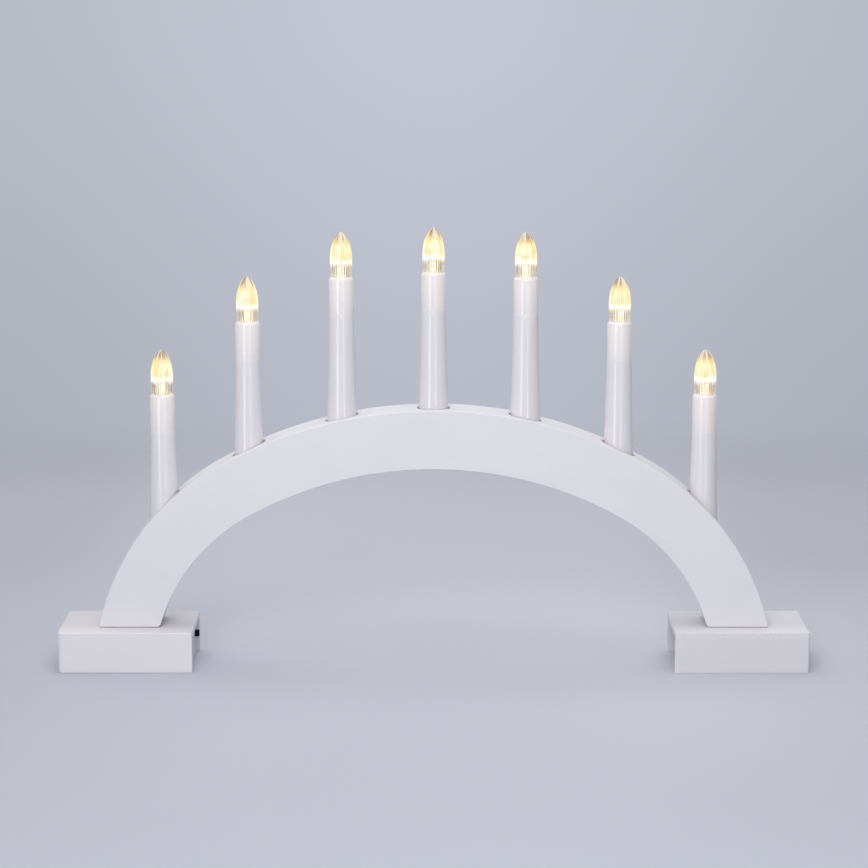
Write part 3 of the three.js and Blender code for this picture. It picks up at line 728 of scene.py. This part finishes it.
def arch_row(inset, base_z):
    """Points (x, z) over the arch, at one distance inside its outer face, from leg to leg."""
    leg = math.pi - math.asin((base_z - spring_z) / (haunch_radius - inset))
    join = math.pi / 2 + CROWN_HALF_ANGLE
    left = []
    for angle in spread(leg, join, HAUNCH_STEPS):
        reach = haunch_radius - inset
        left.append((reach * math.cos(angle) - haunch_x, spring_z + reach * math.sin(angle)))
    crown = []
    for angle in spread(join, math.pi - join, CROWN_STEPS):
        reach = crown_radius - inset
        crown.append((reach * math.cos(angle), crown_z + reach * math.sin(angle)))
    right = [(-x, z) for x, z in reversed(left)]
    return left + crown[1:-1] + right


def arch_top(x):
    if abs(x) <= crown_radius * math.sin(CROWN_HALF_ANGLE):
        return crown_z + math.sqrt(crown_radius ** 2 - x ** 2)
    return spring_z + math.sqrt(haunch_radius ** 2 - (abs(x) - haunch_x) ** 2)


def leg_base(inset):
    """The lowest point of a leg at one inset, with its inner corner rounded."""
    past = inset - (ARCH_THICKNESS - LEG_CORNER)
    if past <= 0:
        return leg_foot
    share = min(past / LEG_CORNER, 1)
    return leg_foot + LEG_CORNER * (1 - math.sqrt(1 - share ** 2))


def swept(profile, base, closed=False):
    """Points and faces of a profile of (inset, y) carried along the arch."""
    rows = [[(x, y, z) for x, z in arch_row(inset, base(inset))] for inset, y in profile]
    length = len(rows[0])
    faces = []
    for k in range(len(rows) if closed else len(rows) - 1):
        near = k * length
        far = (k + 1) % len(rows) * length
        for i in range(length - 1):
            faces.append([near + i, near + i + 1, far + i + 1, far + i])
    for end in (0, length - 1):
        faces.append([k * length + end for k in range(len(rows))])
    return [point for row in rows for point in row], faces


def quarter(centre_inset, centre_y, radius, from_turn, to_turn):
    """A quarter circle in the arch's section."""
    curve = []
    for turn in spread(from_turn, to_turn, EDGE_STEPS):
        curve.append((centre_inset - radius * math.cos(turn), centre_y + radius * math.sin(turn)))
    return curve


def arch_section():
    """One half of the section without its top, from the front top edge down to the groove."""
    bottom = ARCH_THICKNESS
    inner = bottom - ARCH_EDGE
    corner_start = bottom - LEG_CORNER
    front = quarter(ARCH_EDGE, -top_half, ARCH_EDGE, 0, -math.pi / 2)
    face = [(inset, -half_depth) for inset in spread(ARCH_EDGE, corner_start, FACE_STEPS)[1:]]
    face += [(inset, -half_depth) for inset in spread(corner_start, inner, LOW_FACE_STEPS)[1:-1]]
    under = quarter(inner, -top_half, ARCH_EDGE, -math.pi / 2, -math.pi)
    groove = [
        (bottom, -(top_half + GROOVE_HALF_WIDTH) / 2),
        (bottom, -GROOVE_HALF_WIDTH),
        (bottom - GROOVE_DEPTH, -GROOVE_HALF_WIDTH),
    ]
    return front + face + under + groove


def arch_top_face(first):
    """The arch's top between its rounded edges, seen from above, with a round gap for each seat."""
    gap = SEAT_RADIUS + SEAT_LIP
    stations = [x for x, z in arch_row(0, leg_foot)]
    border = [(x, -top_half) for x in stations] + [(x, top_half) for x in reversed(stations)]
    flat = list(border)
    edges = [(i, (i + 1) % len(border)) for i in range(len(border))]
    for seat in seats:
        start = len(flat)
        flat += [(seat.x + gap * x, gap * y) for x, y in circle(SEAT_STEPS)]
        edges += [(start + i, start + (i + 1) % SEAT_STEPS) for i in range(SEAT_STEPS)]

    def clear_of_seats(x, y, distance):
        return all(math.hypot(x - seat.x, y) > distance for seat in seats)

    rows = round(2 * top_half / TOP_GRID)
    for x in stations[1:-1]:
        for y in spread(-top_half, top_half, rows)[1:-1]:
            if clear_of_seats(x, y, gap + TOP_GRID / 3):
                flat.append((x, y))
    flat = [Vector(point) for point in flat]
    made, _, triangles, *_ = delaunay_2d_cdt(flat, edges, [], 0, TOP_WELD)
    points = [(point.x, point.y, arch_top(point.x)) for point in made]
    faces = []
    for triangle in triangles:
        x = sum(made[k].x for k in triangle) / 3
        y = sum(made[k].y for k in triangle) / 3
        if clear_of_seats(x, y, gap * math.cos(math.pi / SEAT_STEPS)):
            faces.append([first + k for k in triangle])
    return points, faces


def seat_hole(seat, first):
    """The eased lip, the wall and the floor of one candle seat."""
    points = []
    faces = []
    for turn in spread(0, math.pi / 2, EDGE_STEPS):
        radius = SEAT_RADIUS + SEAT_LIP * (1 - math.sin(turn))
        drop = SEAT_LIP * (1 - math.cos(turn))
        low = first + len(points)
        faces += band(low, low + SEAT_STEPS, SEAT_STEPS)
        for along, across in circle(SEAT_STEPS):
            x = seat.x + radius * along
            points.append((x, radius * across, arch_top(x) - drop))
    faces.append([first + len(points) + i for i in range(SEAT_STEPS)])
    floor_z = seat.z - SEAT_FLOOR_GAP
    points += [(seat.x + SEAT_RADIUS * x, SEAT_RADIUS * y, floor_z) for x, y in circle(SEAT_STEPS)]
    return points, faces


def seat_shadow_ring(name, seat, radius_at, material):
    """A dark ring round a candle's foot, below the arch's top and raised where it meets the tube:
    painted shade for the gap between tube and seat.
    """
    section = [
        (0, -SEAT_SHADOW_TUCK, SEAT_SHADOW_THICKNESS),
        (1, -SEAT_SHADOW_GAP, SEAT_SHADOW_THICKNESS),
        (1, -SEAT_SHADOW_GAP, SEAT_SHADOW_DROP),
        (0, SEAT_SHADOW_TUCK, SEAT_SHADOW_DROP),
        (0, -SEAT_SHADOW_TUCK, SEAT_SHADOW_RISE),
    ]
    points, faces = lathe_points([(1, 0)] * len(section), SEAT_STEPS)
    for k, (along, across, _) in enumerate(points):
        outside, shift, drop = section[k // SEAT_STEPS]
        level = arch_top(seat.x + SEAT_RADIUS * along)
        reach = (SEAT_RADIUS if outside else radius_at(level - seat.z)) + shift
        x = seat.x + reach * along
        points[k] = (x, reach * across, arch_top(x) - drop)
    wooden_piece(name, points, faces, [], material)


def painted_arch(material):
    half = arch_section()
    section = half + [(inset, -y) for inset, y in reversed(half)]
    points, faces = swept(section, leg_base)
    more_points, more_faces = arch_top_face(len(points))
    points += more_points
    faces += more_faces
    for seat in seats:
        more_points, more_faces = seat_hole(seat, len(points))
        points += more_points
        faces += more_faces
    wooden_piece("painted_arch", points, faces, ["arch_body"], material)


def groove_cover(material):
    inner = ARCH_THICKNESS - COVER_THICKNESS
    half_width = GROOVE_HALF_WIDTH - COVER_CLEARANCE
    corners = [
        (inner, -half_width),
        (ARCH_THICKNESS, -half_width),
        (ARCH_THICKNESS, half_width),
        (inner, half_width),
    ]
    section = softened_profile(corners, [0, COVER_EDGE, COVER_EDGE, 0])
    points, faces = swept(section, lambda inset: leg_foot + LEG_CORNER, closed=True)
    wooden_piece("groove_cover", points, faces, ["groove_strip"], material)


def glue_bead(name, leg_side, material):
    """The uneven sheet of glue that shows as a thin brown line under a leg."""
    outer_x = -arch_row(0, leg_foot)[0][0] - GLUE_INSET
    inner_x = -arch_row(ARCH_THICKNESS - LEG_CORNER, leg_foot)[0][0]
    half_y = half_depth - GLUE_INSET
    corners = [(inner_x, -half_y), (outer_x, -half_y), (outer_x, half_y), (inner_x, half_y)]
    outline = []
    for i, (x, y) in enumerate(corners):
        next_x, next_y = corners[(i + 1) % len(corners)]
        for share in spread(0, 1, GLUE_STEPS)[:-1]:
            wave = GLUE_WAVE * math.prod(math.sin(rate * len(outline)) for rate in GLUE_WAVE_RATES)
            shrink = 1 - wave / half_y
            outline.append((leg_side * (x + (next_x - x) * share), (y + (next_y - y) * share) * shrink))
    count = len(outline)
    levels = (foot_top + GLUE_LIFT, (foot_top + leg_foot) / 2, leg_foot + GLUE_LIFT)
    points = [(x, y, z) for z in levels for x, y in outline]
    faces = [list(range(count)), [2 * count + i for i in range(count)]]
    for low in (0, count):
        faces += band(low, low + count, count)
    wooden_piece(name, points, faces, [], material)


# Flat-sided pieces: copies of the solids with their edges eased
def eased_copy(name, node, radius_of, widest):
    mesh = nodes[node].data.copy()
    mesh.name = name
    mesh.materials.clear()
    shape = bmesh.new()
    shape.from_mesh(mesh)
    bmesh.ops.remove_doubles(shape, verts=shape.verts, dist=WELD)
    bmesh.ops.dissolve_limit(shape, angle_limit=FLAT_JOIN, verts=shape.verts, edges=shape.edges)
    weight = shape.edges.layers.float.new("bevel_weight_edge")
    for edge in shape.edges:
        if len(edge.link_faces) == 2 and edge.calc_face_angle(0) > BOARD_SHARP_EDGE:
            edge[weight] = radius_of(edge) / widest
    for face in shape.faces:
        face.smooth = True
    shape.to_mesh(mesh)
    shape.free()
    mesh.set_sharp_from_angle(angle=BOARD_SHARP_EDGE)
    return mesh


def ease_edges(piece, widest, steps):
    bevel = piece.modifiers.new("eased_edges", "BEVEL")
    bevel.limit_method = "WEIGHT"
    bevel.width = widest
    bevel.segments = steps
    bevel.use_clamp_overlap = True
    keep_flats(piece)


def eased_piece(name, node, radius, body, material, steps=2):
    mesh = eased_copy(name, node, lambda edge: radius, radius)
    ease_edges(new_piece(name, mesh, body, [node], [material]), radius, steps)


def foot_boards(side, easing, paints):
    """The four boards of a foot, with their outer edges, their open end and their joints eased as given.

    The paints are for the boards, for the edges of the top board and for its flat faces.
    """
    names = [f"{side}_foot_{part}" for part in ("top", "front", "back", "end")]
    boxes = [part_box(name) for name in names]
    low = Vector([min(box[0][axis] for box in boxes) for axis in range(3)])
    high = Vector([max(box[1][axis] for box in boxes) for axis in range(3)])
    open_end = high.x if side == "left" else low.x

    def outside(face):
        axis = max(range(3), key=lambda k: abs(face.normal[k]))
        if abs(face.normal[axis]) < SQUARE_ON:
            return True
        level = face.calc_center_median()[axis]
        limit = high[axis] if face.normal[axis] > 0 else low[axis]
        return abs(level - limit) < SAME_LEVEL

    def radius_of(edge):
        shown = [outside(face) for face in edge.link_faces]
        middle = (edge.verts[0].co + edge.verts[1].co) / 2
        if not all(shown):
            return easing["joint"] if any(shown) else 0
        if abs(middle.x - open_end) < SAME_LEVEL:
            return easing["open_end"]
        return easing["edge"]

    for name in names:
        mesh = eased_copy(f"painted_{name}", name, radius_of, easing["edge"])
        piece = new_piece(f"painted_{name}", mesh, "stand", [name], paints)
        if name.endswith("_top"):
            for face in mesh.polygons:
                face.material_index = 1 if abs(face.normal.z) < FACING_UP else 2
        ease_edges(piece, easing["edge"], BOARD_EDGE_STEPS)


# Candles
def flared_radius(foot_radius, shoulder, height):
    """The radius of a tube below its neck."""
    shoulder_radius = NECK_RADIUS + NECK_STEP
    wide = (1 - min(max(height / shoulder, 0), 1)) ** FLARE_POWER
    return shoulder_radius + (foot_radius - shoulder_radius) * wide


def tube_profile(foot_radius, length):
    shoulder = length - NECK_LENGTH
    rim_z = length - RIM_HEIGHT
    bore = NECK_RADIUS - TUBE_WALL
    flare = [(flared_radius(foot_radius, shoulder, z), z) for z in spread(0, shoulder, FLARE_STEPS)]
    foot = rounded((foot_radius, 0), (foot_radius - TUBE_WALL, 0), flare[1], TUBE_FOOT_EDGE)
    seam = (NECK_RADIUS, shoulder + SEAM_HEIGHT)
    neck_heights = spread(shoulder + NECK_MARGIN, rim_z - NECK_MARGIN, NECK_WALL_STEPS)
    neck = [(NECK_RADIUS, z) for z in neck_heights]
    rim_foot = (NECK_RADIUS, rim_z)
    rim_top = (NECK_RADIUS - RIM_WIDTH, length)
    rim = rounded(rim_foot, seam, rim_top, RIM_FOOT_EDGE)
    rim += rounded(rim_top, rim_foot, (bore, length), RIM_TOP_EDGE)
    inside = [(bore, length), (bore, shoulder), (foot_radius - TUBE_WALL, 0)]
    return foot + flare[1:] + [seam] + neck + rim + inside


def bulb_radius(height):
    if height <= BULB_BELLY_HEIGHT:
        swell = math.sin(math.pi / 2 * height / BULB_BELLY_HEIGHT)
        return BULB_BASE_RADIUS + (BULB_BELLY_RADIUS - BULB_BASE_RADIUS) * swell
    rise = (height - BULB_BELLY_HEIGHT) / (BULB_HEIGHT - BULB_BELLY_HEIGHT)
    return BULB_BELLY_RADIUS * max(1 - rise ** TIP_POWER, 0) ** TIP_FULLNESS


def flame_bulb_mesh(foot):
    """A hollow flame: rounded flutes outside, a spigot below, a smooth cavity of a second material."""
    steps = FLUTES * FLUTE_STEPS
    points = []
    faces = []

    def ring(radius_at, height):
        for i, (x, y) in enumerate(circle(steps)):
            radius = radius_at(i)
            points.append((radius * x, radius * y, foot + height))

    def close(first, tip_height):
        """Join the rings from the first point on, and close them with a point on the axis."""
        tip = len(points)
        for low in range(first, tip - steps, steps):
            faces.extend(band(low, low + steps, steps))
        faces.extend(fan(tip - steps, tip, steps))
        points.append((0, 0, foot + tip_height))

    def fluted(height):
        radius = bulb_radius(height)
        depth = FLUTE_DEPTH * min(1, radius / BULB_BASE_RADIUS)

        def radius_at(i):
            across = 2 * (i % FLUTE_STEPS) / FLUTE_STEPS - 1
            return radius - depth * across ** 2
        return radius_at

    ring(lambda i: SPIGOT_BORE, 0)
    ring(lambda i: SPIGOT_BORE, -SPIGOT_LENGTH)
    ring(lambda i: SPIGOT_RADIUS, -SPIGOT_LENGTH)
    ring(lambda i: SPIGOT_RADIUS, 0)
    tip_length = BULB_HEIGHT - BULB_BELLY_HEIGHT
    for height in spread(0, BULB_BELLY_HEIGHT, BELLY_STEPS):
        ring(fluted(height), height)
    for turn in spread(0, math.pi / 2, TIP_STEPS)[1:-1]:
        height = BULB_BELLY_HEIGHT + tip_length * math.sin(turn)
        ring(fluted(height), height)
    close(0, BULB_HEIGHT)
    shell_faces = len(faces)

    cavity_first = len(points)
    cavity_top = BULB_HEIGHT - BULB_TIP_SOLID
    cavity_wall_top = cavity_top - BULB_WALL
    for height in spread(0, cavity_wall_top, CAVITY_STEPS):
        ring(lambda i: bulb_radius(height) - BULB_WALL, height)
    crown = bulb_radius(cavity_wall_top) - BULB_WALL
    for turn in spread(0, math.pi / 2, CAVITY_TOP_STEPS)[1:-1]:
        ring(lambda i: crown * math.cos(turn), cavity_wall_top + BULB_WALL * math.sin(turn))
    close(cavity_first, cavity_top)
    cavity_faces = len(faces)
    faces += band(0, cavity_first, steps)

    mesh = mesh_from("flame_bulb", points, faces, BULB_SHARP_EDGE)
    for face in mesh.polygons:
        face.material_index = 1 if shell_faces <= face.index < cavity_faces else 0
    return mesh


def led_mesh(foot):
    """A dished LED on its flange, with two square leads."""
    profile = [
        (AXIS_GAP, foot),
        (LED_FLANGE_RADIUS, foot),
        (LED_FLANGE_RADIUS, foot + LED_FLANGE_HEIGHT),
        (LED_RADIUS, foot + LED_FLANGE_HEIGHT),
        (LED_RADIUS, foot + LED_HEIGHT),
        (AXIS_GAP, foot + LED_HEIGHT - LED_RECESS),
    ]
    edges = [0, LED_FLANGE_EDGE, LED_FLANGE_EDGE, LED_FOOT_EDGE, LED_RIM_EDGE, 0]
    points, faces = lathe_points(softened_profile(profile, edges), SMALL_STEPS)
    square = [(-1, -1), (1, -1), (1, 1), (-1, 1)]
    corners = len(square)
    lead_foot = foot - LEAD_LENGTH
    wide = LEAD_HALF_WIDTH
    for side in (-1, 1):
        first = len(points)
        y = side * LEAD_HALF_SPACING
        for reach, z in ((wide / 2, lead_foot), (wide, lead_foot + wide), (wide, foot)):
            points += [(dx * reach, y + dy * reach, z) for dx, dy in square]
        for low in (first, first + corners):
            faces += band(low, low + corners, corners)
        for end in (first, first + 2 * corners):
            faces.append([end + i for i in range(corners)])
    return mesh_from("led_lamp", points, faces)


def plug_mesh(low, high):
    """The plug that holds the LED in the tube."""
    radius = NECK_RADIUS - TUBE_WALL - PLUG_CLEARANCE
    neck = SPIGOT_BORE - PLUG_CLEARANCE
    shoulder = high - SPIGOT_LENGTH + PLUG_SHOULDER_RISE
    profile = [
        (PLUG_BORE, low),
        (radius, low),
        (radius, shoulder),
        (neck, shoulder),
        (neck, high),
        (PLUG_BORE, high),
    ]
    edges = [0, PLUG_FOOT_EDGE, PLUG_EDGE, PLUG_NECK_EDGE, PLUG_EDGE, 0]
    return mesh_from("led_plug", *lathe_points(softened_profile(profile, edges), SMALL_STEPS))


def candles():
    """The candles, alike but for the streaks of their bulbs, with the sizes of the middle one."""
    tube_low, tube_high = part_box("candle_4_tube")
    length = tube_high.z - tube_low.z
    foot_radius = (tube_high.x - tube_low.x) / 2
    shoulder = length - NECK_LENGTH
    bulb_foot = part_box("candle_4_bulb")[1].z - BULB_HEIGHT - tube_low.z
    led_foot = length - LED_SINK
    plug_low, plug_high = (corner.z - tube_low.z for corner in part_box("candle_4_holder"))
    tube = mesh_from("candle_tube", *lathe_points(tube_profile(foot_radius, length), TUBE_STEPS))
    led = led_mesh(led_foot)
    plug = plug_mesh(plug_low, plug_high)
    plastic = candle_plastic(shoulder, length)
    lens = lit_lens(led_foot)
    plug_plastic = moulded_plastic("plug_plastic", srgb(226, 222, 214), roughness=0.4, grain=0.01 * MM)
    # Dark rings round the candles' feet, which are painted shade
    ring_shadow = glue_and_shade("seat_shadow_ring", srgb(92, 84, 82), srgb(128, 120, 118))

    def radius_at(height):
        return flared_radius(foot_radius, shoulder, height)

    for i, seat in enumerate(seats):
        candle = i + 1
        seat_shadow_ring(f"seat_shadow_ring_{candle}", seat, radius_at, ring_shadow)
        bulb_materials = [clear_shell(bulb_foot, candle), glowing_wall(bulb_foot, candle)]
        kinds = [
            ("tube", "candle_white", tube, [plastic]),
            ("led", "led_warm", led, [lens]),
            ("holder", "candle_white", plug, [plug_plastic]),
            ("bulb", "bulb_clear", flame_bulb_mesh(bulb_foot), bulb_materials),
        ]
        for kind, slot, mesh, materials in kinds:
            node = f"candle_{candle}_{kind}"
            new_piece(f"lit_{node}", mesh, "stand", [node], materials, seat, CANDLE_TURN * i)


# Floor, backdrop and light
def floor_finish():
    """A pale floor whose tone follows the photograph's light, and which fades into the backdrop."""
    finish = new_finish("studio_floor")
    place = finish.place()
    along, across, _ = finish.axes(place)
    aside = finish.node("ShaderNodeMath", {"operation": "ABSOLUTE"}, {0: along})
    reach = finish.node("ShaderNodeVectorMath", {"operation": "LENGTH"}, {0: place}, output=1)
    mottle = finish.noise(place, scale=6, detail=3)
    near = finish.mix(mottle, srgb(176, 179, 190), srgb(179, 182, 193))
    middle = finish.mix(mottle, srgb(200, 203, 214), srgb(203, 206, 217))
    sides = finish.mix(mottle, srgb(184, 187, 198), srgb(187, 190, 201))
    behind = finish.ease(across, *FLOOR_FAR_TO_BACK)
    middle = finish.mix(behind, middle, srgb(206, 209, 220))
    sides = finish.mix(behind, sides, srgb(194, 197, 208))
    far = finish.mix(finish.ease(aside, *FLOOR_MIDDLE_TO_SIDES), middle, sides)
    colour = finish.mix(finish.ease(across, *FLOOR_NEAR_TO_FAR), near, far)
    # Painted light that lightens the feet's shade on the floor to the right
    beside_feet = finish.ease(across, *LIFT_STARTS) * (1 - finish.ease(across, *LIFT_ENDS))
    lift = LIFT * finish.ease(along, *LIFT_RIGHTWARD) * beside_feet
    sweep = finish.principled({
        "Base Color": finish.mix(lift, colour, WHITE),
        "Roughness": 0.85,
        "Specular IOR Level": 0.1,
    })
    gone = finish.node("ShaderNodeBsdfTransparent")
    return finish.show(finish.blend(finish.ease(reach, *FLOOR_FADE), sweep, gone))


def studio_floor():
    mesh = bpy.data.meshes.new("studio_floor")
    half = FLOOR_SIZE / 2
    corners = [(-half, -half, 0), (half, -half, 0), (half, half, 0), (-half, half, 0)]
    mesh.from_pydata(corners, [], [(0, 1, 2, 3)])
    mesh.materials.append(floor_finish())
    floor = bpy.data.objects.new("studio_floor", mesh)
    bpy.context.scene.collection.objects.link(floor)


def backdrop():
    """A pale backdrop for camera, gloss and glass, and a glow from back and sides for the rest."""
    world = bpy.data.worlds.new("studio_backdrop")
    bpy.context.scene.world = world
    finish = Finish(world)
    direction = finish.node("ShaderNodeTexCoord", output=0)
    along, back, up = finish.axes(direction)

    def towards(side):
        return finish.node("ShaderNodeMath", {"operation": "MAXIMUM"}, {0: side, 1: 0})

    tent = TENT_BACK * towards(back) + TENT_LEFT * towards(-1 * along) + TENT_RIGHT * towards(along)
    aside = finish.node("ShaderNodeMath", {"operation": "ABSOLUTE"}, {0: along})
    rise = finish.ease(up, *BACKDROP_LOW_TO_HIGH)
    middle = finish.mix(rise, BACKDROP_LOW, BACKDROP_HIGH)
    sides = finish.mix(rise, scaled(BACKDROP_LOW, BACKDROP_SIDE), scaled(BACKDROP_HIGH, BACKDROP_SIDE))
    colour = finish.mix(finish.ease(aside, *BACKDROP_MIDDLE_TO_SIDES), middle, sides)
    path = finish.node("ShaderNodeLightPath").socket.node
    rays = ("Is Camera Ray", "Is Glossy Ray", "Is Transmission Ray")
    camera, glossy, through = (Tone(finish, path.outputs[ray]) for ray in rays)
    lit = finish.node("ShaderNodeBackground", None, {"Color": tent, "Strength": 1})
    shown = finish.node("ShaderNodeBackground", None, {"Color": colour, "Strength": 1})
    finish.show(finish.blend(camera + glossy + through, lit, shown), "ShaderNodeOutputWorld")


def softbox(name, place, width, height, watts):
    lamp = bpy.data.lights.new(name, "AREA")
    lamp.shape = "RECTANGLE"
    lamp.size = width
    lamp.size_y = height
    lamp.energy = watts
    box = bpy.data.objects.new(name, lamp)
    box.location = place
    box.rotation_euler = (LIGHT_TARGET - Vector(place)).to_track_quat("-Z", "Y").to_euler()
    box.visible_camera = False
    bpy.context.scene.collection.objects.link(box)


def photo_camera():
    view = bpy.data.cameras.new("photo_camera")
    view.sensor_width = SENSOR
    view.lens = SENSOR * FOCAL_PIXELS / PHOTO_SIZE
    camera = bpy.data.objects.new("photo_camera", view)
    camera.location = CAMERA_PLACE
    camera.rotation_euler = (math.pi / 2 - CAMERA_PITCH, 0, 0)
    bpy.context.scene.collection.objects.link(camera)
    bpy.context.scene.camera = camera
    bpy.context.scene.view_settings.view_transform = "Standard"


# Arch and feet
painted_arch(white_paint("arch_paint", srgb(220, 219, 224)))
groove_cover(white_paint("cover_paint", srgb(216, 216, 223)))
leg_glue = glue_and_shade("leg_glue", srgb(64, 44, 32), srgb(104, 78, 60))
glue_bead("left_glue_line", -1, leg_glue)
glue_bead("right_glue_line", 1, leg_glue)
left_paint = white_paint("left_foot_paint", srgb(222, 220, 224))
# The tops of the feet carry painted shade, darker towards the back
left_top_shaded_paint = white_paint("left_top_shaded_paint", srgb(222, 220, 224), shaded_tone=srgb(207, 204, 209))
# Painted shade: the right foot's boards get a darker copy of the white paint, as if the light came from
# the left
right_shaded_paint = white_paint("right_foot_shaded_paint", srgb(214, 212, 217))
right_top_shaded_paint = white_paint("right_top_shaded_paint", srgb(224, 222, 226), shaded_tone=srgb(209, 207, 213))
right_edge_paint = rough_board_edge("right_board_edge", srgb(218, 216, 220))
foot_boards("left", LEFT_EASING, [left_paint, left_paint, left_top_shaded_paint])
foot_boards("right", RIGHT_EASING, [right_shaded_paint, right_edge_paint, right_top_shaded_paint])
candles()

# Battery unit, screws and wires
case_plastic = moulded_plastic("case_plastic", srgb(196, 196, 208), roughness=0.5, grain=0.02 * MM)
knob_black = srgb(6, 6, 7)
knob_plastic = moulded_plastic("knob_plastic", knob_black, roughness=0.6, grain=0.015 * MM, gloss=0.15)
steel = plated_metal("plated_steel", srgb(192, 194, 198))
eased_piece("moulded_battery_case", "battery_case", CASE_EDGE, "stand", case_plastic)
eased_piece("moulded_battery_lid", "battery_lid", CASE_EDGE, "lid", case_plastic)
eased_piece(
    "moulded_switch_knob", "switch_slider", KNOB_EDGE, "slider", knob_plastic, steps=3)

cell_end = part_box("cell_front")[1].x
cad_finishes = {
    "_screw": steel,
    "_spring": steel,
    "_plate": steel,
    "switch_body": steel,
    "cell_": cell_sleeve(cell_end - CELL_SILVER_LENGTH),
    "_red": wire_sleeve("red_sleeve", srgb(160, 28, 24)),
    "_black": wire_sleeve("black_sleeve", srgb(24, 24, 25)),
    "switch_board": circuit_lacquer(),
}
for name, node in nodes.items():
    for part, material in cad_finishes.items():
        if part in name:
            node.data.materials.clear()
            node.data.materials.append(material)

studio_floor()
backdrop()
softbox("top_softbox", (0.05, -0.12, 1), width=1, height=1.5, watts=7.4)
softbox("front_softbox", (-0.44, -2.13, 1), width=1.1, height=1, watts=15.4)
softbox("near_softbox", (0, -0.7, 0.45), width=0.5, height=0.5, watts=1.5)
softbox("left_strip", (-0.75, -1.15, 0), width=0.36, height=0.36, watts=1.7)
softbox("right_strip", (0.5, -1.5, 0), width=0.2, height=0.36, watts=1)
photo_camera()
